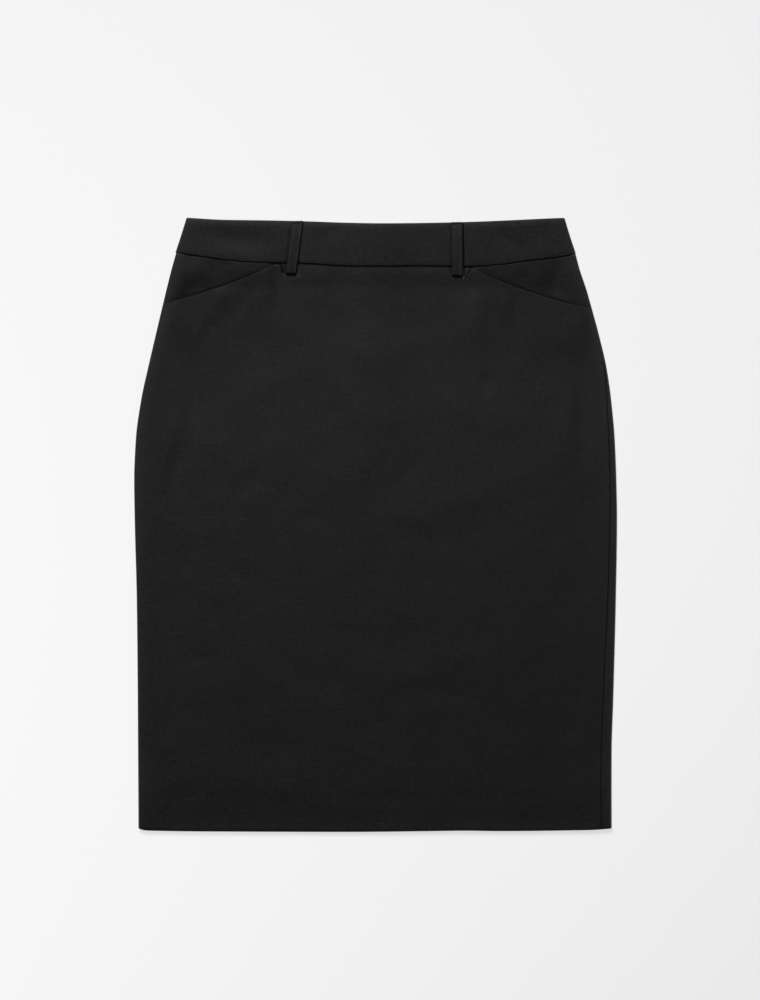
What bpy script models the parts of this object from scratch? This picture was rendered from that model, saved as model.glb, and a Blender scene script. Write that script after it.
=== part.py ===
"""A pencil skirt laid flat on its back, built from the pieces that its maker cuts.

The tables are in millimetres and the scene is in metres. X runs across the skirt, Y from the hem
up to the waist, and Z up from the surface that it lies on. The origin is under its middle.

The skirt is a flattened tube of cloth: a flat underside, a round fold at each side and a soft upper
face. A place on it is named by three numbers. Its side is -1 at the left and +1 at the right. Its
arc is the distance round the cloth from the furthest point of that side, positive over the top and
negative underneath. Its down is the distance below the corners of the waistband.
"""

import math
from collections import namedtuple

import bmesh
import bpy
import numpy as np

MM = 0.001
LENGTH = 613.7          # corners of the waistband to the lowest point of the hem
CLOTH = 1.0             # wall of a skirt panel, with the pressed seam allowances behind it
BAND_CLOTH = 1.6        # wall of the waistband, folded and interlined
LOOP_CLOTH = 1.0        # wall of a belt loop
TAPE = 0.8              # wall of the zip's tape
GAP = 0.3               # left between one piece and the next

HEM_DEPTH = 32.0        # cloth turned up inside the hem
HEM_GAP = 0.4           # left between the hem's two layers
HEM_BEND = CLOTH + HEM_GAP / 2  # outer radius of the turn at the hem
ROUNDING = 35.0         # width over which a side fold settles to the middle
FLANK = 42.0            # arc where the columns of a side end

MOUTH_LEFT = -95.8      # where each pocket mouth meets the waist seam, across the skirt
MOUTH_RIGHT = 91.5
MOUTH_CLOSED = 14.0     # distance from the side in which the mouth is sewn shut
MOUTH_TACK = 3.0        # distance from the side at which the front starts to rise
FACING_LAP = 20.0       # how far the facing runs on under the front
LIFT = CLOTH + GAP      # how far the front is raised over the facing
LIFT_FADE = 24.0        # distance in which the front comes down again
LIFT_HELD = 2.0         # distance past the facing for which it stays up

LOOP_WIDTH = 10.2
LOOP_TAIL = 8.0         # end of a loop turned under at its foot
LOOP_OVER = 0.5         # how far its upper end wraps over the top of the waistband

ZIP_WIDTH = 24.0
ZIP_TOP = 9.0           # upper end of the tape, down from the corners of the waistband
ZIP_END = 190.0         # lower end of the tape
ZIP_STEP = 6.0          # length in which the tape climbs onto the back of the waistband
ZIP_CLEAR = 1.0         # distance of that climb from the waist seam
ZIP_RIDGE = 1.1         # height that the zip adds to the upper face
ZIP_SPREAD = 28.0       # half width of that ridge
ZIP_FADE = 50.0         # distance in which it fades away below the zip
SLIDER = (5.0, 8.0, 1.1)
PULL = (3.4, 16.0, 0.5)
PULL_LAP = 4.0          # length of the pull that lies on the slider
PULL_SUNK = 0.05        # how far its top lies below the slider's

CHARCOAL = (0.014, 0.014, 0.0145)
TAPE_BLACK = (0.012, 0.012, 0.013)
GUNMETAL = (0.09, 0.09, 0.095)
CLOTH_ROUGHNESS = 0.9
TAPE_ROUGHNESS = 0.8
METAL_ROUGHNESS = 0.35

# One row for each section of the tube, from the waist to the hem.
# left, right: reach of each side from the middle line
# roll: how far the side seams have rolled round, onto the top at the right, underneath at the left
# fold: outer radius of the side folds
# lie: height of the upper face, away from the sides
Section = namedtuple("Section", "down left right roll fold lie")
SKIRT = [
    Section(36.0, 199.6, 199.8, 0.0, 2.3, 3.9),
    Section(52.0, 204.1, 204.1, 0.0, 2.3, 3.9),
    Section(72.0, 209.1, 210.8, 0.0, 2.3, 3.8),
    Section(102.0, 216.2, 219.2, 0.8, 2.2, 3.4),
    Section(122.0, 220.9, 224.4, 1.9, 2.2, 3.1),
    Section(150.0, 227.4, 230.8, 3.7, 2.2, 2.8),
    Section(182.0, 234.3, 235.4, 5.6, 2.2, 2.7),
    Section(222.0, 239.7, 239.0, 7.4, 2.2, 2.7),
    Section(262.0, 241.3, 240.6, 7.8, 2.2, 2.7),
    Section(300.0, 240.8, 241.3, 8.6, 2.2, 2.7),
    Section(382.0, 238.7, 240.1, 9.6, 2.2, 2.7),
    Section(482.0, 237.7, 237.5, 11.6, 2.2, 2.7),
    Section(535.0, 237.4, 235.9, 12.0, 2.3, 3.0),
    Section(578.0, 237.1, 235.8, 12.7, 2.85, 5.2),
    Section(613.7, 236.9, 235.9, 12.1, 2.95, 5.2),
]
BAND = [
    Section(0.0, 188.9, 188.8, 0.0, 2.7, 5.3),
    Section(18.0, 194.5, 194.2, 0.0, 2.7, 5.3),
    Section(36.0, 200.4, 200.2, 0.0, 2.7, 5.3),
]

# Edges that run across the skirt: how far down they lie at each place across.
Edge = namedtuple("Edge", "across down")
BAND_TOP = [
    Edge(-189.0, 0.2), Edge(-152.0, 2.3), Edge(-103.0, 3.0), Edge(-67.0, 3.9), Edge(-31.0, 5.2),
    Edge(4.0, 5.9), Edge(52.0, 5.4), Edge(100.0, 4.2), Edge(136.0, 2.7), Edge(172.0, 1.0),
    Edge(189.0, 0.4),
]
WAIST_SEAM = [
    Edge(-200.0, 35.4), Edge(-177.0, 38.8), Edge(-126.0, 44.5), Edge(-72.0, 45.6),
    Edge(-17.0, 48.1), Edge(56.0, 47.7), Edge(89.0, 48.8), Edge(121.5, 47.5), Edge(151.0, 43.3),
    Edge(182.0, 39.8), Edge(200.0, 36.4),
]
HEM = [
    Edge(-237.0, 610.6), Edge(-228.0, 612.3), Edge(-177.0, 613.2), Edge(-22.0, 613.7),
    Edge(42.0, 613.1), Edge(92.0, 612.5), Edge(122.0, 612.9), Edge(212.0, 611.9),
    Edge(236.0, 610.3),
]

# A pocket mouth, from its upper end towards the side. The first row carries its line on inwards.
Mouth = namedtuple("Mouth", "out drop")
MOUTH = [
    Mouth(-60.0, -25.5), Mouth(0.0, 0.0), Mouth(38.5, 16.4), Mouth(68.0, 26.9), Mouth(98.0, 36.2),
    Mouth(112.0, 39.6), Mouth(130.0, 40.4),
]

# The largest folds: soft ridges and hollows that the cloth keeps as it lies.
# turn: degrees from across the skirt towards the waist; long, wide: half sizes; high: at its middle
Fold = namedtuple("Fold", "across down turn long wide high")
FOLDS = [
    Fold(80.0, 278.0, 17.0, 85.0, 24.0, 1.5),
    Fold(-20.0, 250.0, 50.0, 62.0, 22.0, 1.1),
    Fold(-125.0, 262.0, 48.0, 60.0, 22.0, 1.2),
    Fold(-122.0, 452.0, -62.0, 105.0, 20.0, 1.3),
    Fold(-212.0, 220.0, 84.0, 110.0, 17.0, 1.2),
    Fold(190.0, 215.0, 97.0, 105.0, 18.0, 1.1),
    Fold(38.0, 455.0, 20.0, 60.0, 22.0, 1.2),
    Fold(-20.0, 140.0, 0.0, 85.0, 26.0, 0.8),
    Fold(-215.0, 505.0, 65.0, 70.0, 18.0, 1.0),
    Fold(150.0, 395.0, 75.0, 95.0, 26.0, 0.8),
]

# A belt loop: where its middle line is at the top and at the foot, and how far down the foot is.
Loop = namedtuple("Loop", "name top foot foot_down")
LOOPS = [
    Loop("belt_loop_left", -78.4, -84.0, 55.3),
    Loop("belt_loop_right", 81.2, 82.8, 57.5),
]


def smooth_curve(places, values):
    """A curve through points that never swings past them: cubics whose slopes are the harmonic
    mean of the runs on each side, or level at a turning point."""
    places = np.array(places, float)
    values = np.array(values, float)
    steps = np.diff(places)
    runs = np.diff(values) / steps
    slopes = np.zeros(len(places))
    slopes[0], slopes[-1] = runs[0], runs[-1]
    before, after = runs[:-1], runs[1:]
    same = before * after > 0
    slopes[1:-1][same] = 2 * before[same] * after[same] / (before[same] + after[same])

    def curve(place):
        place = np.clip(place, places[0], places[-1])
        i = np.clip(np.searchsorted(places, place) - 1, 0, len(steps) - 1)
        t = (place - places[i]) / steps[i]
        from_first = values[i] * (1 + 2 * t) + slopes[i] * steps[i] * t
        from_next = values[i + 1] * (3 - 2 * t) - slopes[i + 1] * steps[i] * (1 - t)
        return from_first * (1 - t) ** 2 + from_next * t ** 2

    return curve


def ease(t):
    """Goes from 0 to 1 and is level at both ends."""
    t = np.clip(t, 0.0, 1.0)
    return t * t * (3 - 2 * t)


class Tube:
    """The outer face of a flattened tube of cloth, from its table of sections."""

    def __init__(self, sections, wall, folds=()):
        downs = [s.down for s in sections]
        self.left = smooth_curve(downs, [s.left for s in sections])
        self.right = smooth_curve(downs, [s.right for s in sections])
        self.roll = smooth_curve(downs, [s.roll for s in sections])
        self.fold = smooth_curve(downs, [s.fold for s in sections])
        self.lie = smooth_curve(downs, [s.lie for s in sections])
        self.wall = wall
        self.folds = folds

    def reach(self, side, down):
        """Distance from the middle line to the furthest point of a side."""
        return np.where(side < 0, self.left(down), self.right(down))

    def quarter(self, down):
        """Arc where a side fold meets the upper face."""
        return self.fold(down) * math.pi / 2

    def cut(self, down):
        """Half the gap at a side seam, measured at the middle of the wall."""
        fold = self.fold(down)
        return GAP / 2 * fold / (fold - self.wall / 2)

    def across(self, down, arc):
        """Arc, from the left side, of the place as far in from the right side as the given arc."""
        return self.left(down) + self.right(down) + 2 * (self.quarter(down) - self.fold(down)) - arc

    def upper(self, x, down):
        """Height of the upper face."""
        fold = self.fold(down)
        inside = np.minimum(x + self.left(down), self.right(down) - x) - fold
        lie = self.lie(down) + zip_ridge(x, down)
        for crease in self.folds:
            lie = lie + crease_height(crease, x, down)
        settled = ease(inside / ROUNDING)
        return 2 * fold * (1 - settled) + lie * settled

    def face(self, side, arc, down, out=0.0):
        """Points of the outer face, moved out from it by a distance."""
        fold = self.fold(down)
        turn = np.clip(arc / fold, -math.pi / 2, math.pi / 2)
        flat = np.maximum(np.abs(arc) - self.quarter(down), 0.0)
        x = side * (self.reach(side, down) - fold + (fold + out) * np.cos(turn) - flat)
        on_fold = fold + (fold + out) * np.sin(turn)
        z = np.where(arc > self.quarter(down), self.upper(x, down) + out, on_fold)
        return np.stack([x, LENGTH / 2 - down, z], axis=-1)


def zip_ridge(x, down):
    """The upper face rides over the zip, which lies between the two layers."""
    end = 1 - ease((down - ZIP_END) / ZIP_FADE)
    return ZIP_RIDGE * np.exp(-(x / ZIP_SPREAD) ** 2) * end


def crease_height(crease, x, down):
    """A bell across the fold, which fades away towards both of its ends."""
    turn = math.radians(crease.turn)
    dx = x - crease.across
    dy = crease.down - down
    along = (dx * math.cos(turn) + dy * math.sin(turn)) / crease.long
    aside = (dy * math.cos(turn) - dx * math.sin(turn)) / crease.wide
    return crease.high * np.exp(-aside ** 2) * (1 - ease(np.abs(along)))


skirt = Tube(SKIRT, CLOTH, FOLDS)
band = Tube(BAND, BAND_CLOTH)
band_top = smooth_curve([e.across for e in BAND_TOP], [e.down for e in BAND_TOP])
waist_seam = smooth_curve([e.across for e in WAIST_SEAM], [e.down for e in WAIST_SEAM])
hem = smooth_curve([e.across for e in HEM], [e.down for e in HEM])
mouth_drop = smooth_curve([m.out for m in MOUTH], [m.drop for m in MOUTH])


def mouth(x):
    """How far down the pocket mouths lie, each carried on towards the middle."""
    top = np.where(x < 0, MOUTH_LEFT, MOUTH_RIGHT)
    return waist_seam(top) + GAP / 2 + mouth_drop(np.abs(x) - np.abs(top))


def from_side(x, down):
    """Distance in from the furthest point of the nearer side."""
    return np.minimum(x + skirt.left(down), skirt.right(down) - x)


def pocket_lift(x, down):
    """The front is raised over each pocket's facing, except where the mouth is sewn shut."""
    top = np.where(x < 0, MOUTH_LEFT, MOUTH_RIGHT)
    start = np.abs(top) - FACING_LAP - 3 * LIFT_FADE
    inwards = ease((np.abs(x) - start) / (2 * LIFT_FADE))
    beside = ease((from_side(x, down) - MOUTH_TACK) / (MOUTH_CLOSED - MOUTH_TACK))
    below = 1 - ease((down - mouth(x) - FACING_LAP - LIFT_HELD) / LIFT_FADE)
    return LIFT * beside * inwards * below


def front_top(x):
    """Upper edge of the front: the waist seam between the pockets, and their mouths outside."""
    return np.maximum(waist_seam(x) + GAP / 2, mouth(x))


def skirt_top(x):
    """Upper edge of what is sewn straight to the waistband."""
    return waist_seam(x) + GAP / 2


def facing_foot(x):
    """Lower edge of a facing: under the front, but against it where the mouth is sewn shut."""
    inside = from_side(x, mouth(x)) - MOUTH_CLOSED
    return mouth(x) - GAP + (FACING_LAP + GAP) * ease(inside / MOUTH_CLOSED)


def band_foot(x):
    """Lower edge of the waistband."""
    return waist_seam(x) - GAP / 2


# A run of columns on one side, from one arc to another. start and end give those arcs for a height
# and shares says where between them the columns stand.
Run = namedtuple("Run", "side start end shares")
HOLD = 0.045            # share of a fold at which a column holds the cut edge square to the cloth
ROUND_SHARES = np.concatenate([[0.0, HOLD], np.linspace(0.0, 1.0, 12)[1:]])
QUARTER_SHARES = np.array([0.0, HOLD, 0.25, 0.5, 0.75, 1.0])
FLANK_SHARES = np.array([0.14, 0.28, 0.63, 1.0])
UNDER_SHARES = np.linspace(0.0, 1.0, 6)[1:]
OUTER_STEPS = 4         # columns from a flank to the upper end of the pocket mouth there
CENTRE_STEPS = 10       # columns between the two mouths


def flank(_down):
    """Arc where the columns of a side end."""
    return FLANK


def middle_shares(tube, top_edge):
    """Shares of the middle columns, one of which meets the upper end of each pocket mouth."""
    marks = []
    for place in (MOUTH_LEFT, MOUTH_RIGHT):
        down = top_edge(place)
        start = -tube.left(down) + tube.fold(down) - tube.quarter(down) + FLANK
        width = tube.across(down, FLANK) - FLANK
        marks.append(float((place - start) / width))
    first, last = marks
    outer_left = np.linspace(0.0, first, OUTER_STEPS + 1)[1:]
    centre = np.linspace(first, last, CENTRE_STEPS + 1)[1:]
    outer_right = np.linspace(last, 1.0, OUTER_STEPS + 1)[1:-1]
    return np.concatenate([outer_left, centre, outer_right])


def top_runs(tube, top_edge):
    """Columns of a piece that covers the upper face, from the left side seam to the right one."""
    def left_seam(down):
        return tube.cut(down) - tube.roll(down)

    def right_seam(down):
        return tube.cut(down) + tube.roll(down)

    def past_seam(down):
        return right_seam(down) + tube.quarter(down)

    def far_flank(down):
        return tube.across(down, FLANK)

    return [
        Run(-1, left_seam, tube.quarter, ROUND_SHARES),
        Run(-1, tube.quarter, flank, FLANK_SHARES),
        Run(-1, flank, far_flank, middle_shares(tube, top_edge)),
        Run(1, past_seam, flank, FLANK_SHARES[::-1]),
        Run(1, right_seam, past_seam, QUARTER_SHARES[::-1]),
    ]


def back_right_runs(tube):
    """Columns of a right back piece: over the right fold, then underneath to the centre seam."""
    def seam(down):
        return tube.roll(down) - tube.cut(down)

    def under(down):
        return -tube.quarter(down)

    def centre(down):
        return tube.fold(down) - tube.quarter(down) - tube.right(down) + GAP / 2

    return [Run(1, seam, under, ROUND_SHARES), Run(1, under, centre, UNDER_SHARES)]


def back_left_runs(tube):
    """Columns of a left back piece: from the centre seam, then up the left fold to its seam."""
    def centre(down):
        return tube.fold(down) - tube.quarter(down) - tube.left(down) + GAP / 2

    def seam(down):
        return -tube.roll(down) - tube.cut(down)

    def before_seam(down):
        return seam(down) - tube.quarter(down)

    return [
        Run(-1, centre, before_seam, 1 - UNDER_SHARES[::-1]),
        Run(-1, seam, before_seam, QUARTER_SHARES[::-1]),
    ]


def place_columns(runs, down):
    """Side and arc of every column, for heights with a column in each place of the last axis."""
    sides, arcs, first = [], [], 0
    for run in runs:
        own = down[..., first:first + len(run.shares)]
        start, end = run.start(own), run.end(own)
        arcs.append(start + (end - start) * run.shares)
        sides.append(np.full(own.shape, run.side))
        first += len(run.shares)
    return np.concatenate(sides, axis=-1), np.concatenate(arcs, axis=-1)


EDGE_ROUNDS = 12        # rounds in which a column's place on an edge settles


def meet_edge(tube, runs, edge):
    """How far down each column meets an edge, found by stepping along the column to it."""
    down = np.full(sum(len(run.shares) for run in runs), float(edge(0.0)))
    for _ in range(EDGE_ROUNDS):
        side, arc = place_columns(runs, down)
        down = edge(tube.face(side, arc, down)[..., 0])
    return down


TOP_ROWS = np.array([0.0, 12.0, 24.0, 36.0, 50.0, 66.0])
HEM_ROWS = np.array([78.0, 60.0, 45.0, HEM_DEPTH + 1.0, 16.0, HEM_BEND])
BODY_STEPS = 17
BEND_STEPS = 5
FACING_ROWS = 4
BAND_ROWS = 3
ABOVE_MOUTH = np.array([0.0, 1 / 3, 2 / 3])  # rows of a back panel beside a closed mouth


def body_shares():
    """Rows of the front, as shares of the way from its upper edge to the bend of the hem."""
    whole = hem(0.0) - waist_seam(0.0) - HEM_BEND
    upper = TOP_ROWS / whole
    lower = 1 - (HEM_ROWS - HEM_BEND) / whole
    between = np.linspace(upper[-1], lower[0], BODY_STEPS + 1)[1:-1]
    return np.concatenate([upper, between, lower])


def back_shares(side):
    """Rows of a back panel. Beside the front they stand level with the front's rows."""
    outside = side * LENGTH
    waist = skirt_top(outside)
    above = (mouth(outside) - waist) / (hem(outside) - HEM_BEND - waist)
    return np.concatenate([above * ABOVE_MOUTH, above + (1 - above) * body_shares()])


def hemmed_rows(top, foot, shares):
    """Heights and depths of the rows of a hemmed panel, from inside the hem up to its upper edge."""
    bend = np.linspace(0.0, math.pi, BEND_STEPS + 1)[1:, None]
    turned_up = np.array([HEM_DEPTH / 2, HEM_DEPTH])[:, None]
    body = top + (foot - HEM_BEND - top) * shares[:, None]
    down = np.concatenate([body, foot - HEM_BEND + HEM_BEND * np.sin(bend), foot - turned_up])
    depth = np.concatenate([
        np.zeros(body.shape),
        HEM_BEND * (1 - np.cos(bend)) + np.zeros(foot.shape),
        np.full((len(turned_up), len(foot)), 2 * HEM_BEND),
    ])
    return down[::-1], depth[::-1]


def new_material(name, colour, roughness, metallic=0.0):
    """A plain finish of one colour."""
    material = bpy.data.materials.new(name)
    material.use_nodes = True
    shader = material.node_tree.nodes["Principled BSDF"]
    shader.inputs["Base Color"].default_value = (*colour, 1.0)
    shader.inputs["Roughness"].default_value = roughness
    shader.inputs["Metallic"].default_value = metallic
    return material


def add_object(name, bm, material, collection):
    """Puts a finished mesh into the skirt's collection."""
    mesh = bpy.data.meshes.new(name)
    bm.to_mesh(mesh)
    bm.free()
    mesh.materials.append(material)
    mesh.shade_smooth()
    piece = bpy.data.objects.new(name, mesh)
    collection.objects.link(piece)
    return piece


def cloth_sheet(name, points, wall, collection, colour=CHARCOAL, roughness=CLOTH_ROUGHNESS):
    """A sheet of cloth: a grid laid on rows and columns of points of its outer face, then given
    its wall inwards."""
    rows, columns = points.shape[:2]
    bm = bmesh.new()
    bmesh.ops.create_grid(bm, x_segments=columns - 1, y_segments=rows - 1, size=0.5)
    for vertex in bm.verts:
        column = round((vertex.co.x + 0.5) * (columns - 1))
        row = round((vertex.co.y + 0.5) * (rows - 1))
        vertex.co = points[row, column] * MM
    piece = add_object(name, bm, new_material(name, colour, roughness), collection)
    solid = piece.modifiers.new("wall", "SOLIDIFY")
    solid.thickness = wall * MM
    solid.offset = -1.0
    return piece


def hemmed_panel(name, runs, top_edge, shares, collection, lift=None):
    """A panel of the skirt, from its upper edge down, round the hem and up inside."""
    top = meet_edge(skirt, runs, top_edge)
    foot = meet_edge(skirt, runs, hem)
    down, depth = hemmed_rows(top, foot, shares)
    side, arc = place_columns(runs, down)
    points = skirt.face(side, arc, down, -depth)
    if lift is not None:
        points[..., 2] += lift(points[..., 0], down) * (arc > 0)
    return cloth_sheet(name, points, CLOTH, collection)


def plain_panel(name, tube, runs, top_edge, foot_edge, rows, collection, columns=slice(None)):
    """A piece that spans two edges. It may take only some of the columns of the runs."""
    top = meet_edge(tube, runs, top_edge)
    foot = meet_edge(tube, runs, foot_edge)
    shares = np.linspace(1.0, 0.0, rows)[:, None]
    down = top + (foot - top) * shares
    side, arc = place_columns(runs, down)
    points = tube.face(side, arc, down)[:, columns]
    return cloth_sheet(name, points, tube.wall, collection)


LOOP_STEPS = 4
LOOP_BEND_STEPS = 6
STRIP = np.array([-0.5, 0.0, 0.5])  # columns of a narrow strip, as shares of its width


def belt_loop(loop, collection):
    """A strip from over the top of the waistband to its foot on the skirt, turned under there."""
    bend_radius = LOOP_CLOTH + GAP / 2
    head_down = band_top(loop.top) - LOOP_OVER
    head_height = band.upper(loop.top, head_down) + GAP + LOOP_CLOTH
    skirt_height = skirt.upper(loop.foot, loop.foot_down) + pocket_lift(loop.foot, loop.foot_down)
    foot_height = skirt_height + GAP + 2 * bend_radius
    run = np.linspace(0.0, 1.0, LOOP_STEPS + 1)
    bend = np.linspace(0.0, math.pi, LOOP_BEND_STEPS + 1)[1:]
    tail = np.array([LOOP_TAIL / 2, LOOP_TAIL])
    straight_end = loop.foot_down - bend_radius
    down = np.concatenate([
        head_down + (straight_end - head_down) * run,
        straight_end + bend_radius * np.sin(bend),
        loop.foot_down - tail,
    ])
    height = np.concatenate([
        head_height + (foot_height - head_height) * run,
        foot_height - bend_radius * (1 - np.cos(bend)),
        np.full(len(tail), foot_height - 2 * bend_radius),
    ])
    lean = (loop.foot - loop.top) / (loop.foot_down - head_down)
    middle = loop.top + lean * (down - head_down)
    points = np.zeros((len(down), len(STRIP), 3))
    points[..., 0] = middle[:, None] + STRIP * LOOP_WIDTH
    points[..., 1] = LENGTH / 2 - down[:, None]
    points[..., 2] = height[:, None]
    return cloth_sheet(loop.name, points[::-1], LOOP_CLOTH, collection)


def zip_tape(collection):
    """The zip's tape, inside over the centre back seam. It steps up onto the waistband's back."""
    climb = float(waist_seam(0.0)) + ZIP_CLEAR
    downs = np.array([ZIP_END, climb + ZIP_STEP, climb, ZIP_TOP])
    heights = np.array([CLOTH, CLOTH, BAND_CLOTH, BAND_CLOTH]) + GAP + TAPE
    points = np.zeros((len(downs), len(STRIP), 3))
    points[..., 0] = STRIP * ZIP_WIDTH
    points[..., 1] = LENGTH / 2 - downs[:, None]
    points[..., 2] = heights[:, None]
    return cloth_sheet("zip_tape", points, TAPE, collection, TAPE_BLACK, TAPE_ROUGHNESS)


def add_block(bm, size, low_corner):
    """A box from its size and its lowest corner."""
    block = bmesh.ops.create_cube(bm, size=1.0)["verts"]
    bmesh.ops.scale(bm, vec=[s * MM for s in size], verts=block)
    middle = [(low + s / 2) * MM for low, s in zip(low_corner, size)]
    bmesh.ops.translate(bm, vec=middle, verts=block)


def zip_slider(collection, cutters):
    """The closed zip's slider, with its pull folded flat towards the hem."""
    bottom = BAND_CLOTH + 2 * GAP + TAPE
    slider_end = LENGTH / 2 - ZIP_TOP - SLIDER[1]
    metal = new_material("zip_slider", GUNMETAL, METAL_ROUGHNESS, metallic=1.0)
    body = bmesh.new()
    add_block(body, SLIDER, (-SLIDER[0] / 2, slider_end, bottom))
    slider = add_object("zip_slider", body, metal, collection)
    pull_end = slider_end + PULL_LAP - PULL[1]
    pull_bottom = bottom + SLIDER[2] - PULL_SUNK - PULL[2]
    tab = bmesh.new()
    add_block(tab, PULL, (-PULL[0] / 2, pull_end, pull_bottom))
    pull = add_object("pull_cutter", tab, metal, cutters)
    pull.hide_render = True
    pull.display_type = "WIRE"
    union = slider.modifiers.new("pull", "BOOLEAN")
    union.operation = "UNION"
    union.solver = "EXACT"
    union.object = pull
    return slider


def main():
    for old in list(bpy.data.objects):
        bpy.data.objects.remove(old)
    collection = bpy.data.collections.new("pencil_skirt")
    cutters = bpy.data.collections.new("cutters")
    for group in (collection, cutters):
        bpy.context.scene.collection.children.link(group)

    front_runs = top_runs(skirt, skirt_top)
    hemmed_panel("front_panel", front_runs, front_top, body_shares(), collection, pocket_lift)
    hemmed_panel("back_panel_right", back_right_runs(skirt), skirt_top, back_shares(1), collection)
    hemmed_panel("back_panel_left", back_left_runs(skirt), skirt_top, back_shares(-1), collection)

    facing_edges = (skirt_top, facing_foot, FACING_ROWS, collection)
    outside_mouth = len(FLANK_SHARES) + OUTER_STEPS + 1
    left_columns = slice(None, len(ROUND_SHARES) + outside_mouth)
    right_columns = slice(-len(QUARTER_SHARES) - outside_mouth, None)
    plain_panel("hip_facing_left", skirt, front_runs, *facing_edges, left_columns)
    plain_panel("hip_facing_right", skirt, front_runs, *facing_edges, right_columns)

    band_edges = (band_top, band_foot, BAND_ROWS, collection)
    plain_panel("waistband_front", band, top_runs(band, band_foot), *band_edges)
    plain_panel("waistband_back_right", band, back_right_runs(band), *band_edges)
    plain_panel("waistband_back_left", band, back_left_runs(band), *band_edges)

    for loop in LOOPS:
        belt_loop(loop, collection)
    zip_tape(collection)
    zip_slider(collection, cutters)


main()
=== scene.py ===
# %% [markdown]
# # A pencil skirt laid flat
#
# This lesson dresses the plain solids of a pencil skirt in cloth. The solids say where every piece
# is and how big it is. Each visible piece is made again here as a thin shell with a much finer
# surface, so that it can carry rolled seams, soft creases and a weave. A skirt like this one is cut
# from charcoal suiting: a front, two backs that meet at a zip, two hip pieces behind the slanted
# pocket mouths, a waistband in three parts, and two belt loops.
#
# The first cell loads the solids. They are in metres, with X across the skirt, Y from the hem up to
# the waist and Z up from the surface that it lies on.

# %% Load the solids
import math
from collections import namedtuple

import bpy
import numpy as np
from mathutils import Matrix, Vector


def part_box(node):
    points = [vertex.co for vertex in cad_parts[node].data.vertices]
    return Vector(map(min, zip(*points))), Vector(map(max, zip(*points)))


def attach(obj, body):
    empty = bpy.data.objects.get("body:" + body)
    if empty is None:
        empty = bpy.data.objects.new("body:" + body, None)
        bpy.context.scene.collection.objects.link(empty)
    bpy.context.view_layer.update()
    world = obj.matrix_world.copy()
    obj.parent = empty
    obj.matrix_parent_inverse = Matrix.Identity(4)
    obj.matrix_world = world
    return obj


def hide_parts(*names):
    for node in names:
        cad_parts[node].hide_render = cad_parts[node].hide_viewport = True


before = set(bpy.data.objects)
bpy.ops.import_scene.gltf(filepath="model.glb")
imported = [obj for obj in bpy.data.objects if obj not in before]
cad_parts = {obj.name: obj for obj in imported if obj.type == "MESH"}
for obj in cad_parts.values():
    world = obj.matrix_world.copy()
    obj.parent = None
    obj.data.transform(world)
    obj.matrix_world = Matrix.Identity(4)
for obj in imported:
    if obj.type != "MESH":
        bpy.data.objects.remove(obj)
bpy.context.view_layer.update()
print("solids:", ", ".join(sorted(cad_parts)))

# %% [markdown]
# ## The sizes of the cut
#
# Sizes are in millimetres, as on a pattern, and become metres when a mesh is made. A place on the
# skirt is named by its distance across from the middle line and its distance down from the corners
# of the waistband. The flattened tube is described by a short table with one row for each height
# where something changes. Between the rows a smooth curve is drawn, which is how a pattern cutter
# joins the notches of a pattern with a curved ruler.

# %% Named sizes
MM = 0.001
LENGTH = 613.7          # corners of the waistband to the lowest point of the hem
CLOTH = 1.0             # a panel with the pressed seam allowances behind it
BAND_CLOTH = 1.6        # the waistband, folded and interlined
GAP = 0.3               # between one piece and the next
print(f"the skirt is {LENGTH} mm long and cut from cloth that is {CLOTH} mm thick")


# %% A smooth curve
def smooth_curve(places, values):
    """A curve through points that never swings past them: on each step a cubic
    (1-t)^2 (a + (2a + m)t) + t^2 (b + (2b - n)(1-t)), whose end slopes m and n are the harmonic
    mean of the steps on each side, or level at a turning point."""
    places, values = np.array(places, float), np.array(values, float)
    steps = np.diff(places)
    rates = np.diff(values) / steps
    slopes = np.zeros(len(places))
    slopes[0], slopes[-1] = rates[0], rates[-1]
    before, after = rates[:-1], rates[1:]
    same = before * after > 0
    slopes[1:-1][same] = 2 * before[same] * after[same] / (before[same] + after[same])

    def curve(place):
        place = np.clip(place, places[0], places[-1])
        i = np.clip(np.searchsorted(places, place) - 1, 0, len(steps) - 1)
        t = (place - places[i]) / steps[i]
        from_first = values[i] * (1 + 2 * t) + slopes[i] * steps[i] * t
        from_next = values[i + 1] * (3 - 2 * t) - slopes[i + 1] * steps[i] * (1 - t)
        return from_first * (1 - t) ** 2 + from_next * t ** 2

    return curve


def edge_curve(rows):
    """The smooth curve through a table with two columns, a place and its value."""
    return smooth_curve(*zip(*rows))


def ease(t):
    """Goes from 0 to 1 and is level at both ends: 3t^2 - 2t^3."""
    t = np.clip(t, 0.0, 1.0)
    return t * t * (3 - 2 * t)


print(f"half of the way up, the ease is at {float(ease(0.5))}")

# %% [markdown]
# ## The sections and the edges
#
# In each row of the two tables of sections, left and right are the distances from the middle line to
# the furthest points. Roll is how far the side seams have turned round from there, which is down at
# the left and up onto the top at the right. Fold is the radius of the side folds, and lie is the
# height of the upper face in the middle. The waistband's top, the waist seam and the hem run across,
# so each has a table of its own, and so does the drop of a pocket mouth. A table is short enough to
# be changed by hand, and the curve between its rows stays smooth whatever is changed.

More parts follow.
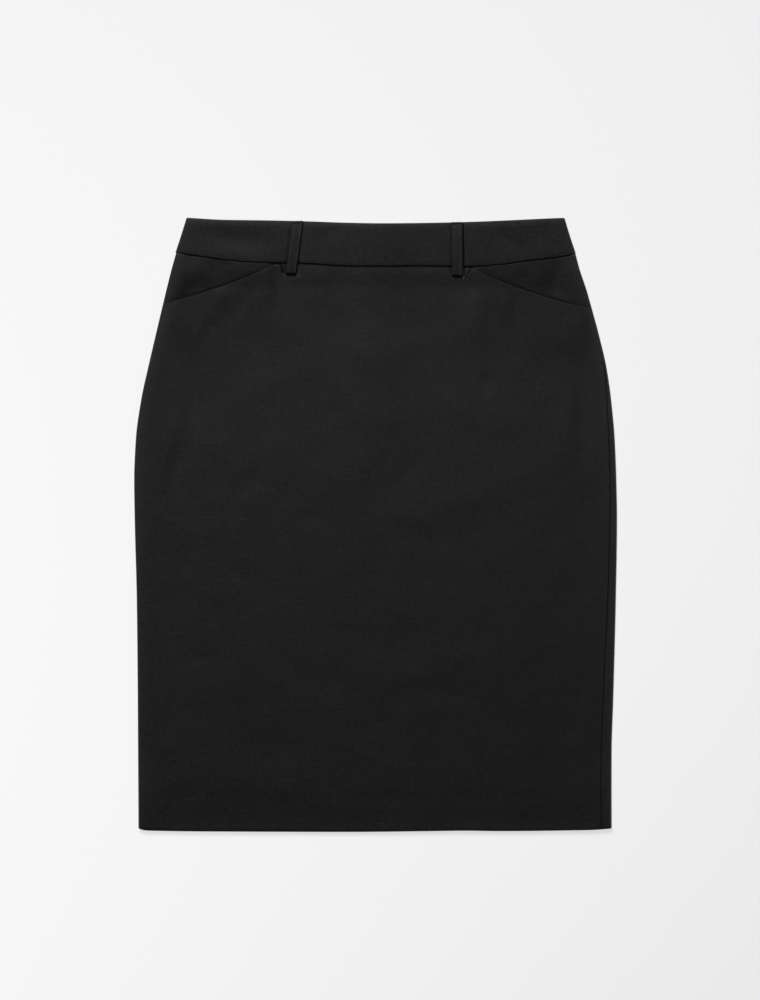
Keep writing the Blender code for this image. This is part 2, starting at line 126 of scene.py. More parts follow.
# %% Sections of the flattened tube
Section = namedtuple("Section", "down left right roll fold lie")
SKIRT = [
    Section(36.0, 199.6, 199.8, 0.0, 2.3, 4.8),
    Section(52.0, 204.1, 204.1, 0.0, 2.3, 4.6),
    Section(72.0, 209.1, 210.8, 0.0, 2.3, 3.6),
    Section(102.0, 216.2, 219.2, 0.8, 2.2, 3.15),
    Section(122.0, 220.9, 224.4, 1.9, 2.2, 3.1),
    Section(150.0, 227.4, 230.8, 3.7, 2.2, 2.8),
    Section(182.0, 234.3, 235.4, 5.6, 2.2, 2.7),
    Section(222.0, 239.7, 239.0, 7.4, 2.2, 2.7),
    Section(262.0, 241.3, 240.6, 7.8, 2.2, 2.7),
    Section(300.0, 240.8, 241.3, 8.6, 2.2, 2.7),
    Section(382.0, 238.7, 240.1, 9.6, 2.2, 2.9),
    Section(482.0, 237.7, 237.5, 11.6, 2.2, 3.7),
    Section(535.0, 237.4, 235.9, 12.0, 2.3, 4.4),
    Section(578.0, 237.1, 235.8, 12.7, 2.85, 5.15),
    Section(613.7, 236.9, 235.9, 12.1, 2.95, 5.2),
]
BAND = [
    Section(0.0, 188.9, 188.8, 0.0, 2.7, 5.3),
    Section(18.0, 194.5, 194.2, 0.0, 2.7, 5.3),
    Section(36.0, 200.4, 200.2, 0.0, 2.7, 5.3),
]
print("sections:", len(SKIRT), "of the skirt and", len(BAND), "of the waistband")

# %% Edges that run across
Edge = namedtuple("Edge", "across down")
BAND_TOP = [
    Edge(-189.0, 0.2), Edge(-152.0, 2.3), Edge(-103.0, 3.0), Edge(-67.0, 3.9), Edge(-31.0, 5.2),
    Edge(4.0, 5.9), Edge(52.0, 5.4), Edge(100.0, 4.2), Edge(136.0, 2.7), Edge(172.0, 1.0),
    Edge(189.0, 0.4),
]
WAIST_SEAM = [
    Edge(-200.0, 35.4), Edge(-177.0, 38.8), Edge(-126.0, 44.5), Edge(-72.0, 46.0),
    Edge(-17.0, 48.7), Edge(56.0, 48.4), Edge(89.0, 49.2), Edge(121.5, 47.5), Edge(151.0, 43.3),
    Edge(182.0, 39.8), Edge(200.0, 36.4),
]
HEM = [
    Edge(-237.0, 610.6), Edge(-228.0, 612.3), Edge(-177.0, 613.2), Edge(-22.0, 613.7),
    Edge(42.0, 613.1), Edge(92.0, 612.5), Edge(122.0, 612.9), Edge(212.0, 611.9),
    Edge(236.0, 610.3),
]
Mouth = namedtuple("Mouth", "out drop")
MOUTH = [
    Mouth(-60.0, -25.5), Mouth(0.0, 0.0), Mouth(38.5, 16.4), Mouth(68.0, 26.9), Mouth(98.0, 36.2),
    Mouth(112.0, 39.6), Mouth(130.0, 40.4),
]

band_top = edge_curve(BAND_TOP)
waist_seam = edge_curve(WAIST_SEAM)
hem = edge_curve(HEM)
mouth_drop = edge_curve(MOUTH)
print(f"waist seam at the middle: {float(waist_seam(0)):.1f} mm down, hem {float(hem(0)):.1f} mm")

# %% [markdown]
# ## Creases
#
# Suiting that was pressed and then handled never lies dead flat. Two layers trap a little air and
# the upper one keeps soft ridges and troughs: drag lines that fan out from the pocket mouths, long
# slanting folds over the hip, and shorter ones where the hem was picked up. Cloth simulation would
# give other folds than these, so each is placed one by one. One crease is a bell across its width
# that fades away towards both of its ends, and a row of the table gives its middle, its direction in
# degrees, its half sizes and its height. A trough has a negative height.

# %% The table of creases
Crease = namedtuple("Crease", "across down turn long wide high")
LARGE_CREASES = [
    Crease(62.0, 286.0, 8.0, 75.0, 18.0, 0.32),
    Crease(-20.0, 250.0, 50.0, 62.0, 22.0, 0.39),
    Crease(-125.0, 262.0, 48.0, 60.0, 22.0, 0.24),
    Crease(-122.0, 452.0, -62.0, 105.0, 20.0, 0.45),
    Crease(-212.0, 220.0, 84.0, 110.0, 17.0, 0.42),
    Crease(190.0, 215.0, 97.0, 105.0, 18.0, 0.39),
    Crease(38.0, 455.0, 20.0, 60.0, 22.0, 0.42),
    Crease(-20.0, 140.0, 0.0, 85.0, 26.0, 0.28),
    Crease(-215.0, 505.0, 65.0, 70.0, 18.0, 0.35),
    Crease(150.0, 395.0, 75.0, 95.0, 26.0, 0.28),
]
SMALL_CREASES = [
    Crease(-200.0, 70.0, 84.0, 28.0, 6.0, 0.80),
    Crease(-190.0, 74.0, 84.0, 24.0, 5.0, -0.50),
    Crease(-155.0, 80.0, 86.0, 15.0, 3.6, 0.50),
    Crease(-91.0, 55.0, -20.0, 18.0, 8.0, -0.28),
    Crease(-142.0, 96.0, 58.0, 34.0, 7.0, -0.22),
    Crease(-124.0, 92.0, 62.0, 34.0, 7.0, 0.22),
    Crease(-168.0, 116.0, 56.0, 40.0, 8.0, -0.28),
    Crease(139.0, 91.0, 92.0, 30.0, 6.0, -0.50),
    Crease(131.0, 89.0, 92.0, 30.0, 7.0, 0.40),
    Crease(100.0, 84.0, 20.0, 24.0, 7.0, 0.16),
    Crease(-183.0, 176.0, 96.0, 56.0, 8.0, -0.68),
    Crease(-192.0, 175.0, 96.0, 56.0, 8.0, 0.60),
    Crease(-199.0, 241.0, 81.0, 52.0, 8.0, -0.50),
    Crease(-208.0, 239.0, 81.0, 52.0, 8.0, 0.50),
    Crease(-122.0, 260.0, 50.0, 44.0, 9.0, -0.32),
    Crease(-46.0, 196.0, 8.0, 24.0, 8.0, -0.24),
    Crease(40.0, 142.0, 52.0, 26.0, 8.0, -0.20),
    Crease(111.0, 165.0, 62.0, 20.0, 7.0, -0.36),
    Crease(98.0, 214.0, 66.0, 24.0, 8.0, -0.18),
    Crease(44.0, 301.0, -4.0, 52.0, 8.0, 0.24),
    Crease(56.0, 322.0, -5.0, 50.0, 9.0, -0.26),
    Crease(36.0, 248.0, 54.0, 34.0, 8.0, -0.34),
    Crease(112.0, 290.0, 16.0, 46.0, 9.0, -0.10),
    Crease(-64.0, 300.0, 40.0, 22.0, 8.0, -0.20),
    Crease(-132.0, 358.0, -48.0, 26.0, 8.0, -0.24),
    Crease(-154.0, 410.0, -64.0, 60.0, 10.0, -0.28),
    Crease(-118.0, 470.0, -58.0, 40.0, 9.0, -0.24),
    Crease(-88.0, 528.0, -46.0, 30.0, 9.0, -0.26),
    Crease(-54.0, 462.0, -8.0, 42.0, 8.0, -0.23),
    Crease(-28.0, 412.0, 24.0, 26.0, 8.0, -0.18),
    Crease(24.0, 478.0, 42.0, 28.0, 8.0, -0.24),
    Crease(66.0, 474.0, -14.0, 46.0, 8.0, -0.23),
    Crease(2.0, 506.0, 18.0, 30.0, 9.0, -0.23),
    Crease(205.0, 197.0, 86.0, 70.0, 9.0, -0.45),
    Crease(196.0, 196.0, 86.0, 70.0, 9.0, 0.45),
    Crease(-212.0, 508.0, 70.0, 46.0, 9.0, -0.66),
    Crease(-190.0, 576.0, 10.0, 30.0, 9.0, -0.24),
    Crease(-110.0, 582.0, -24.0, 60.0, 9.0, -0.16),
    Crease(8.0, 580.0, -2.0, 70.0, 6.0, -0.23),
    Crease(110.0, 578.0, 2.0, 70.0, 6.0, -0.14),
]
UNDER_CREASES = [
    Crease(-120.0, 190.0, 60.0, 80.0, 20.0, 0.40),
    Crease(96.0, 250.0, -35.0, 90.0, 22.0, 0.40),
    Crease(-60.0, 420.0, -50.0, 95.0, 20.0, 0.45),
    Crease(140.0, 470.0, 70.0, 80.0, 18.0, 0.35),
    Crease(20.0, 540.0, 12.0, 70.0, 18.0, 0.35),
]
HIP_CREASES = [
    Crease(-188.0, 78.0, 80.0, 20.0, 5.0, -0.90),
    Crease(-160.0, 52.0, 30.0, 26.0, 8.0, -0.20),
    Crease(178.0, 62.0, 84.0, 30.0, 9.0, -0.65),
    Crease(150.0, 58.0, 30.0, 22.0, 7.0, -0.20),
]
BAND_CREASES = [
    Crease(-91.0, 50.0, -20.0, 18.0, 8.0, -0.35),
    Crease(-139.0, 22.0, -5.0, 62.0, 9.0, -0.45),
    Crease(-184.0, 12.0, -8.0, 24.0, 9.0, -0.20),
    Crease(138.0, 27.0, -35.0, 30.0, 8.0, -0.45),
    Crease(172.0, 12.0, 50.0, 26.0, 9.0, -0.30),
    Crease(-8.0, 24.0, 3.0, 60.0, 12.0, 0.15),
    Crease(-50.0, 22.0, 70.0, 24.0, 9.0, -0.25),
]
print(len(LARGE_CREASES) + len(SMALL_CREASES), "creases on top,", len(UNDER_CREASES), "underneath")


# %% The height of the creases
def crease_height(creases, x, down):
    """Sum over the creases of high * exp(-(aside/wide)^2) * (1 - ease(|along/long|)), where along
    and aside are the distances from the crease's middle, turned to its direction."""
    total = np.zeros(np.broadcast(x, down).shape)
    for crease in creases:
        turn = math.radians(crease.turn)
        dx, dy = x - crease.across, crease.down - down
        along = (dx * math.cos(turn) + dy * math.sin(turn)) / crease.long
        aside = (dy * math.cos(turn) - dx * math.sin(turn)) / crease.wide
        total = total + crease.high * np.exp(-aside ** 2) * (1 - ease(np.abs(along)))
    return total


sharpest = max(SMALL_CREASES, key=lambda crease: abs(crease.high) / crease.wide)
print(f"the sharpest crease is {sharpest.high} mm high and {sharpest.wide} mm wide on each side")

# %% [markdown]
# ## Crumple
#
# Between the creases the cloth still isn't smooth: it has a fine unrest that has no place or
# direction of its own. That is too much to place by hand, and noise from a texture could not be
# measured along with the rest of the shape. So it is a sum of shallow waves. Each wave is a little
# longer than the last and runs another way, and no two of them meet twice in the same manner.

# %% Crumple
CRUMPLE_WAVES = 16
CRUMPLE_SHORT = 15.0    # length of the shortest wave
CRUMPLE_GROWTH = 1.12   # each wave is this much longer than the last
CRUMPLE_SLOPE = 0.0035
CRUMPLE_TURN = 2.4      # radians from one wave's direction to the next
CRUMPLE_SHIFT = 1.7     # radians by which the waves are out of step with each other
CRUMPLE_BEND = 0.25     # a crest wanders to each side by this share of the wave's length
CRUMPLE_BEND_LONG = 0.7


def crumple(x, down):
    """A sum of waves, length * slope / (2 pi) * sin(2 pi along / length), of every direction. The
    crests wander: bend * length * sin(aside / (bend_long * length)) is added to along."""
    total = np.zeros(np.broadcast(x, down).shape)
    for wave in range(CRUMPLE_WAVES):
        turn, length = CRUMPLE_TURN * wave, CRUMPLE_SHORT * CRUMPLE_GROWTH ** wave
        along = x * math.cos(turn) + down * math.sin(turn)
        aside = down * math.cos(turn) - x * math.sin(turn)
        bend = CRUMPLE_BEND * length * np.sin(aside / (CRUMPLE_BEND_LONG * length) + wave)
        angle = 2 * math.pi * (along + bend) / length + CRUMPLE_SHIFT * wave * wave
        total = total + length * np.sin(angle)
    return total * CRUMPLE_SLOPE / (2 * math.pi)


longest_wave = CRUMPLE_SHORT * CRUMPLE_GROWTH ** (CRUMPLE_WAVES - 1)
print(f"crumple: waves from {CRUMPLE_SHORT:.0f} to {longest_wave:.0f} mm long")

# %% [markdown]
# ## The flattened tube
#
# A skirt on a table is a tube that was pressed flat. Its section has a flat underside, a round fold
# at each side and a soft upper face. A point of the cloth is found from its side, from the distance
# round the cloth from the furthest point of that side, and from how far down it is. The distance
# round the cloth is what makes the weave run true: it goes into the UV map, so the threads are not
# stretched where the cloth turns.

# %% The tube's form
ROUNDING = 35.0         # width over which a side fold settles to the middle
SEAM_OPEN = 0.1         # the pieces of a sewn seam are this close


class Tube:
    """The outer face of a flattened tube of cloth, from its table of sections."""

    def __init__(self, sections, wall, relief, under_creases=()):
        downs = [s.down for s in sections]
        for name in ("left", "right", "roll", "fold", "lie"):
            setattr(self, name, smooth_curve(downs, [getattr(s, name) for s in sections]))
        self.wall = wall
        self.relief = relief
        self.under_creases = under_creases

    def reach(self, side, down):
        """Distance from the middle line to the furthest point of a side."""
        return np.where(side < 0, self.left(down), self.right(down))

    def quarter(self, down):
        """Arc of a quarter turn: fold * pi / 2, where a side fold meets the upper face."""
        return self.fold(down) * math.pi / 2

    def middle(self, side, down):
        """Arc from the furthest point of a side to the middle line."""
        return self.reach(side, down) - self.fold(down) + self.quarter(down)

    def cut(self, down):
        """Half the gap at a side seam, opened out from the middle of the wall to its face."""
        fold = self.fold(down)
        return SEAM_OPEN / 2 * fold / (fold - self.wall / 2)

    def upper(self, x, down):
        """Height of the upper face: it eases over a set width from the top of a side fold to the
        height of the middle, to which the relief is added."""
        fold = self.fold(down)
        inside = np.minimum(x + self.left(down), self.right(down) - x) - fold
        lie = self.lie(down) + self.relief(x, down)
        settled = ease(inside / ROUNDING)
        return 2 * fold * (1 - settled) + lie * settled

    def face(self, side, arc, down, out):
        """Points moved out from the face: x = side (reach - fold + (fold + out) cos a - flat) and
        z = fold + (fold + out) sin a on a fold, where a = arc / fold and flat is the arc past it."""
        fold = self.fold(down)
        turn = np.clip(arc / fold, -math.pi / 2, math.pi / 2)
        flat = np.maximum(np.abs(arc) - self.quarter(down), 0.0)
        x = side * (self.reach(side, down) - fold + (fold + out) * np.cos(turn) - flat)
        on_fold = fold + (fold + out) * np.sin(turn)
        under = crease_height(self.under_creases, x, down) * ease(flat / ROUNDING)
        low = on_fold + under * (arc < 0)
        z = np.where(arc > self.quarter(down), self.upper(x, down) + out, low)
        return np.stack([x, LENGTH / 2 - down, z], axis=-1)


# %% [markdown]
# ## What the stitching does to the cloth
#
# A zip is thicker than a seam, so the upper face rides over it in a soft ridge. Stitches draw the
# cloth in, and below the waist seam it answers with small waves. Both are added to the creases and
# the crumple, and the sum is the relief of the tube's upper face. The waistband is stiff and has
# creases of its own, but it crumples less.

# %% Relief of the upper face
ZIP_END = 190.0         # how far down the zip ends
ZIP_RIDGE = 1.1
ZIP_SPREAD = 28.0
ZIP_FADE = 50.0         # the ridge fades away over this distance below the zip
PUCKER = 0.07
PUCKER_LONG = 19.0      # from one pucker to the next
PUCKER_DRIFT = 1.7      # radians by which they fall out of step
PUCKER_DRIFT_LONG = 31.0
PUCKER_FADE = 13.0
BAND_CRUMPLE = 0.7      # share of the crumple that the stiff waistband shows


def zip_ridge(x, down):
    """Ridge * exp(-(x / spread)^2), fading away below the zip."""
    end = 1 - ease((down - ZIP_END) / ZIP_FADE)
    return ZIP_RIDGE * np.exp(-(x / ZIP_SPREAD) ** 2) * end


def seam_pucker(x, down):
    """Waves along the waist seam that die out below it, with a length that drifts a little."""
    below = down - waist_seam(x)
    drift = PUCKER_DRIFT * np.sin(x / PUCKER_DRIFT_LONG)
    wave = np.sin(2 * math.pi * x / PUCKER_LONG + drift)
    return PUCKER * wave * np.exp(-(below / PUCKER_FADE) ** 2)


def skirt_relief(x, down):
    """Creases, crumple, puckers and the ridge over the zip."""
    creases = crease_height(LARGE_CREASES + SMALL_CREASES, x, down)
    return creases + crumple(x, down) + seam_pucker(x, down) + zip_ridge(x, down)


def band_relief(x, down):
    """Its own creases, less crumple and the ridge over the zip."""
    creases = crease_height(BAND_CREASES, x, down)
    return creases + BAND_CRUMPLE * crumple(x, down) + zip_ridge(x, down)


skirt = Tube(SKIRT, CLOTH, skirt_relief, UNDER_CREASES)
band = Tube(BAND, BAND_CLOTH, band_relief)
print(f"round the hips: {2 * float(skirt.left(262) + skirt.right(262)):.0f} mm before the folds")

# %% [markdown]
# ## Pocket mouths and the edges of the pieces
#
# The pocket mouths are slanted. Above each one shows a hip piece, which runs on under the front. It
# would be simplest to end the two along one line, but then the mouth would be a seam. Two cloths that
# overlap leave an edge with a real step and a shadow under it. Towards the side seam the mouth is
# sewn shut, and there the hip piece ends just under the front's edge. What is sewn to the waistband
# runs on a little inside it, so that no light gets through the seam.

# %% Edges of the pieces
MOUTH_LEFT = -95.8      # where each pocket mouth meets the waist seam
MOUTH_RIGHT = 91.5
MOUTH_CLOSED = 14.0     # distance from the side in which the mouth is sewn shut
FACING_LAP = 20.0       # how far the hip piece runs on under the front
FACING_LEAST = 0.2      # and where the mouth is sewn shut
SEAM_TUCK = 1.3         # what is sewn to the waistband runs on this far inside it
SEAM_SIDE = 0.3         # but only this far at the sides, where there is no room


def mouth(x):
    """How far down the pocket mouths lie, each carried on towards the middle."""
    top = np.where(x < 0, MOUTH_LEFT, MOUTH_RIGHT)
    return waist_seam(top) + GAP / 2 + mouth_drop(np.abs(x) - np.abs(top))


def from_side(x, down):
    """Distance in from the furthest point of the nearer side."""
    return np.minimum(x + skirt.left(down), skirt.right(down) - x)


def mouth_end(x):
    """Distance from the middle line to the upper end of the pocket mouth on that side."""
    return np.where(x < 0, -MOUTH_LEFT, MOUTH_RIGHT)


def inside_band(x):
    """How far what is sewn to the waistband runs on inside it, less towards the sides."""
    beside = from_side(x, waist_seam(x))
    return SEAM_SIDE + (SEAM_TUCK - SEAM_SIDE) * ease(beside / ROUNDING)


def skirt_top(x):
    """Upper edge of the backs, which meet the waistband underneath."""
    return waist_seam(x) + GAP / 2


def hip_top(x):
    """Upper edge of the hip pieces, inside the waistband."""
    return skirt_top(x) - inside_band(x)


def front_top(x):
    """Upper edge of the front: inside the waistband between the pockets, and their mouths
    outside."""
    return np.maximum(hip_top(x), mouth(x))


def band_foot(x):
    """Lower edge of the waistband."""
    return waist_seam(x) - GAP / 2


def facing_foot(x):
    """Lower edge of a hip piece: under the front, but only just so where the mouth is sewn shut."""
    inside = from_side(x, mouth(x)) - MOUTH_CLOSED / 2
    return mouth(x) + FACING_LEAST + FACING_LAP * ease(inside / MOUTH_CLOSED)


print(f"pocket mouths: {float(mouth(-200.0) - mouth(-96.0)):.0f} mm deep over their width")

# %% [markdown]
# ## The lift over the hip pieces
#
# The front has to rise over a hip piece by its own thickness and come down again further in. Cloth
# bridges such a step in a long soft slope. Three things hold it down. The mouth is sewn shut near the
# side seam, so there the two lie level. Between the pockets the waistband holds the layers down, and
# lets go of them only gradually below it. And where the hip piece has sunk towards the mouth, the
# front sinks with it and comes down sooner. Each of these is an ease, and the lift is their product.

# %% The lift
LIFT = CLOTH + GAP
LIFT_FADE = 24.0        # beside the upper end of a mouth, the lift starts over twice this width
LIFT_SOFT = 75.0        # the cloth bridges down from the hip piece over this width
LIFT_SHORT = 36.0       # and over this one near the side
LIFT_EARLY = 20.0       # and starts this much sooner where the hip piece has sunk
DIP_START = 32.0        # distance along the mouth in which it sinks
MOUTH_TACK = 3.0        # this close to the side seam nothing lifts
HELD_DEEP = 100.0       # between the pockets the waistband holds the front down this far below it
HELD_WIDE = 14.0        # and this far past the upper end of a pocket mouth


def between_mouths(x):
    """1 between the upper ends of the pocket mouths, fading to 0 outside them."""
    return 1 - ease((np.abs(x) - mouth_end(x)) / HELD_WIDE)


def held_down(x, down):
    """1 where the waistband holds the layers down between the pockets, and 0 further below."""
    return between_mouths(x) * (1 - ease((down - waist_seam(x)) / HELD_DEEP))


def along_mouth(x, length):
    """Grows from 0 at the upper end of a pocket mouth to 1 at a distance along it."""
    return ease((np.abs(x) - mouth_end(x)) / length)


def pocket_lift(x, down):
    """Product of three eases, away from the side, out from the middle and down to the foot, less
    what the waistband holds down. Where the hip piece has sunk, the front already comes down from
    the mouth on."""
    start = mouth_end(x) - FACING_LAP - 3 * LIFT_FADE
    inwards = ease((np.abs(x) - start) / (2 * LIFT_FADE))
    beside = ease((from_side(x, down) - MOUTH_TACK) / (MOUTH_CLOSED - MOUTH_TACK))
    soft = LIFT_SHORT + (LIFT_SOFT - LIFT_SHORT) * ease(from_side(x, down) / (2 * ROUNDING))
    early = along_mouth(x, DIP_START) * ease((from_side(x, down) - LIFT_SHORT) / ROUNDING)
    lap = FACING_LAP - LIFT_EARLY * early
    below = 1 - ease((down - mouth(x) - lap * ease(from_side(x, down) / ROUNDING)) / soft)
    return LIFT * beside * inwards * below * (1 - held_down(x, down))


lifted = float(pocket_lift(-150.0, mouth(-150.0)))
print(f"the front is lifted by {lifted:.1f} mm at the middle of the left mouth")

# %% [markdown]
# ## The ditch along the waist seam
#
# At the waist seam the skirt passes under the edge of the waistband. Right below the seam it comes
# up again in a short step, and the two edges with the ditch between them are what makes a seam look
# sewn. The step is moved closer to the seam beside the pockets, where the cloth lies low already.
# At the side seams there is no room for it, so it fades out.

# %% The ditch
SEAM_SINK = 1.3         # the skirt passes below the edge of the waistband by this much
SEAM_DITCH = 1.2        # and comes up again this far below the seam
SEAM_NARROW = 0.5       # or only this far, where the cloth lies low beside the band
SEAM_STEP = 0.5         # over this width
SEAM_FADE = 16.0        # the drop fades out over this distance from the left side
SEAM_FADE_RIGHT = 8.0   # and over this one from the right side


def seam_sink(x, down):
    """The drop at the waist seam: all of it down to the edge of the ditch, and none below that. The
    ditch is narrow beside the pockets."""
    ditch = SEAM_NARROW + (SEAM_DITCH - SEAM_NARROW) * between_mouths(x)
    above = waist_seam(x) + ditch + SEAM_STEP - down
    fade = np.where(x < 0, SEAM_FADE, SEAM_FADE_RIGHT)
    return -SEAM_SINK * ease(above / SEAM_STEP) * ease(from_side(x, down) / fade)


print(f"the skirt sinks by {-float(seam_sink(0.0, waist_seam(0.0))):.1f} mm at the waist seam")

# %% [markdown]
# ## Laying columns and rows on the cloth
#
# A piece of cloth is a grid. Its columns run down the skirt and crowd together at the side seams,
# where the cloth turns over and its cut edge rolls under. Its rows run across and crowd together at
# the waist seam and round the turn of the hem. A run says where a group of columns starts and ends,
# as two functions of the height, so that the columns follow the seams as these wander.

# %% Runs of columns
Run = namedtuple("Run", "side start end near share")
EDGE_ROUNDS = 12        # rounds in which a column's place on an edge settles
FINE_SHARES = 2001      # steps in which the running sum below is taken


def crowded(steps, places=(), width=0.012, crowd=8.0):
    """Shares from 0 to 1 in steps that are even, but shorter around some places: the inverse of the
    running sum of 1 + crowd * exp(-((share - place) / width)^2)."""
    even = np.linspace(0.0, 1.0, steps + 1)
    fine = np.linspace(0.0, 1.0, FINE_SHARES)
    density = 1 + sum(crowd * np.exp(-((fine - place) / width) ** 2) for place in places)
    density = density + 0 * fine
    running = np.concatenate([[0.0], np.cumsum((density[1:] + density[:-1]) / 2)])
    return np.interp(even, running / running[-1], fine)


print("ten steps that crowd in the middle:", crowded(10, (0.5,), width=0.1).round(2).tolist())


# %% Laying out the columns
def new_run(side, start, end, near, steps, places=()):
    """Columns at fixed distances from the start of a run, then steps to its end."""
    near = np.array(near)
    share = np.concatenate([np.zeros(len(near)), crowded(steps, places)[1:]])
    near = np.concatenate([near, np.full(steps, near[-1])])
    return Run(side, start, end, near, share)


def place_columns(runs, down):
    """Side and arc of every column: start + near + share (end - start - last near)."""
    sides, arcs, first = [], [], 0
    for run in runs:
        own = down[..., first:first + len(run.near)]
        start, end = run.start(own), run.end(own)
        way = np.sign(end - start)
        length = np.abs(end - start) - np.max(run.near)
        arcs.append(start + way * (run.near + run.share * length))
        sides.append(np.full(own.shape, run.side))
        first += len(run.near)
    return np.concatenate(sides, axis=-1), np.concatenate(arcs, axis=-1)


def turned(runs):
    """The same columns in the opposite order."""
    return [run._replace(near=run.near[::-1], share=run.share[::-1]) for run in runs[::-1]]


def meet_edge(tube, runs, edge):
    """How far down each column meets an edge, found by stepping along the column to it."""
    down = np.full(sum(len(run.near) for run in runs), float(edge(0.0)))
    for _ in range(EDGE_ROUNDS):
        side, arc = place_columns(runs, down)
        down = edge(tube.face(side, arc, down, 0.0)[..., 0])
    return down


# %% Columns of each piece
ROLLED_EDGE = [0.0, 0.12, 0.3, 0.55, 0.9]   # first columns from a seam, in millimetres
TOP_SEAM = ROLLED_EDGE + [1.35, 1.9, 2.5, 3.1, 3.8, 4.6, 5.6, 7.0, 9.0]
PAST_FOLD = [0.9, 2.2, 4.0]     # and from the line where a side fold ends
FOLD_STEPS = 26
FLAT_STEPS = 74
LEFT_PLACES = (0.5254, 0.551)   # where the columns crowd for the bar tacks and the belt loops
RIGHT_PLACES = (0.525, 0.5506, 0.605)


def left_half(tube, steps=FLAT_STEPS):
    """Columns of the left of a front, from its seam underneath, up round the fold and in."""
    def seam(down):
        return tube.cut(down) - tube.roll(down)

    def middle(down):
        return tube.middle(-1, down)

    fold = new_run(-1, seam, tube.quarter, ROLLED_EDGE, FOLD_STEPS)
    flat = new_run(-1, tube.quarter, middle, PAST_FOLD, steps, LEFT_PLACES)
    return [fold, flat]


def right_half(tube, steps=FLAT_STEPS):
    """Columns of the right of a front, from the middle out to its seam on the upper face."""
    def seam(down):
        return tube.cut(down) + tube.roll(down)

    def middle(down):
        return tube.middle(1, down)

    return turned([new_run(1, seam, middle, TOP_SEAM, steps, RIGHT_PLACES)])


def whole_front(tube, steps):
    """Columns of a front, from its left side seam to its right one. Both halves meet in the middle,
    so the right one leaves out its first column."""
    right = right_half(tube, steps)
    right[0] = right[0]._replace(near=right[0].near[1:], share=right[0].share[1:])
    return left_half(tube, steps) + right


def right_back(tube):
    """Columns of a right back: over the right fold, then underneath to the centre seam."""
    def seam(down):
        return tube.roll(down) - tube.cut(down)

    def under(down):
        return -tube.quarter(down)

    def centre(down):
        return SEAM_OPEN / 2 - tube.middle(1, down)

    fold = new_run(1, seam, under, ROLLED_EDGE, FOLD_STEPS)
    flat = new_run(1, under, centre, PAST_FOLD, FLAT_STEPS)
    return [fold, flat]


def left_back(tube):
    """Columns of a left back: underneath from the centre seam, then up to its side seam."""
    def seam(down):
        return -tube.roll(down) - tube.cut(down)

    def centre(down):
        return SEAM_OPEN / 2 - tube.middle(-1, down)

    return turned([new_run(-1, seam, centre, TOP_SEAM, FLAT_STEPS)])


print("columns of the right back:", sum(len(run.near) for run in right_back(skirt)))

# %% [markdown]
# ## From a grid to a piece of cloth
#
# A shell has an outer grid, an inner grid one cloth's thickness further in, and a rim that closes
# the two along the cut edges. A Solidify modifier would do nearly the same, but here the outer face
# rolls over at its edges and the inner one doesn't. Both grids get the same UV coordinates: the
# distance across from the middle of the piece and the distance down, both measured along the cloth
# and in metres, so that one unit of the weave is the same size everywhere. The area of the UV map is
# then the area of the cut. Two more layers of values go to the colour. The painted sheen is highest
# along the folds and lightens the colour there as a painted highlight, and the painted shade is 1
# near the waist, where it darkens the panels.

# %% Faces and meshes
SHARP_ANGLE = 50.0      # degrees between two faces, past which the edge between them is sharp


def shell_faces(rows, columns):
    """Four corners of every face of an outer grid, an inner grid and the rim between them."""
    outer = np.arange(rows * columns).reshape(rows, columns)
    quads = np.stack([outer[:-1, :-1], outer[1:, :-1], outer[1:, 1:], outer[:-1, 1:]], axis=-1)
    quads = quads.reshape(-1, 4)
    edge = np.concatenate([outer[0, :-1], outer[:-1, -1], outer[-1, :0:-1], outer[:0:-1, 0]])
    onward = np.roll(edge, -1)
    inside = rows * columns
    rim = np.stack([edge, onward, onward + inside, edge + inside], axis=-1)
    return np.concatenate([quads, quads[:, ::-1] + inside, rim])


def new_mesh(name, points, faces):
    """A mesh object from points in millimetres and lists of corners."""
    mesh = bpy.data.meshes.new(name)
    mesh.from_pydata((points * MM).tolist(), [], faces)
    mesh.shade_smooth()
    mesh.set_sharp_from_angle(angle=math.radians(SHARP_ANGLE))
    piece = bpy.data.objects.new(name, mesh)
    bpy.context.scene.collection.objects.link(piece)
    return piece


def cut_area(uv):
    """Area of a cut from its UV grid: half the cross product of each cell's diagonals."""
    first = uv[1:, 1:] - uv[:-1, :-1]
    second = uv[:-1, 1:] - uv[1:, :-1]
    return float(np.abs(first[..., 0] * second[..., 1] - first[..., 1] * second[..., 0]).sum() / 2)


unit_square = np.stack(np.meshgrid([0.0, 1.0], [0.0, 1.0]), axis=-1)
print(f"cut area of a unit square: {cut_area(unit_square):.1f}")


# %% A piece of cloth
def cloth_piece(name, node, outer, inner, uv, rests_on, **layers):
    """A closed shell from two grids of points, which share their UV places and their layers of one
    value for each point. The threads run along the axes of its UV map, and the size that the piece
    was cut to is the map's."""
    faces = shell_faces(*outer.shape[:2])
    points = np.concatenate([outer.reshape(-1, 3), inner.reshape(-1, 3)])
    piece = new_mesh(name, points, faces.tolist())
    both = np.concatenate([uv.reshape(-1, 2)] * 2)[faces.ravel()]
    uv_layer = piece.data.uv_layers.new(name="cloth")
    uv_layer.uv.foreach_set("vector", both.astype(np.float32).ravel())
    for layer, values in layers.items():
        attribute = piece.data.attributes.new(layer, "FLOAT", "POINT")
        attribute.data.foreach_set("value", np.tile(values.ravel(), 2))
    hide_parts(node)
    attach(piece, "root")


# %% [markdown]
# ## Panels of the skirt
#
# A panel is cut about 32 mm too long, and the extra cloth is turned up inside and caught with blind
# stitches. Each row of a panel has a base, which is how far down it is, and a turn, which is how far
# the cloth has turned over by then: none on the body, half a turn on the part inside the hem. One
# formula then gives the outer face, a rolled edge and the inner face, each with its own radius.

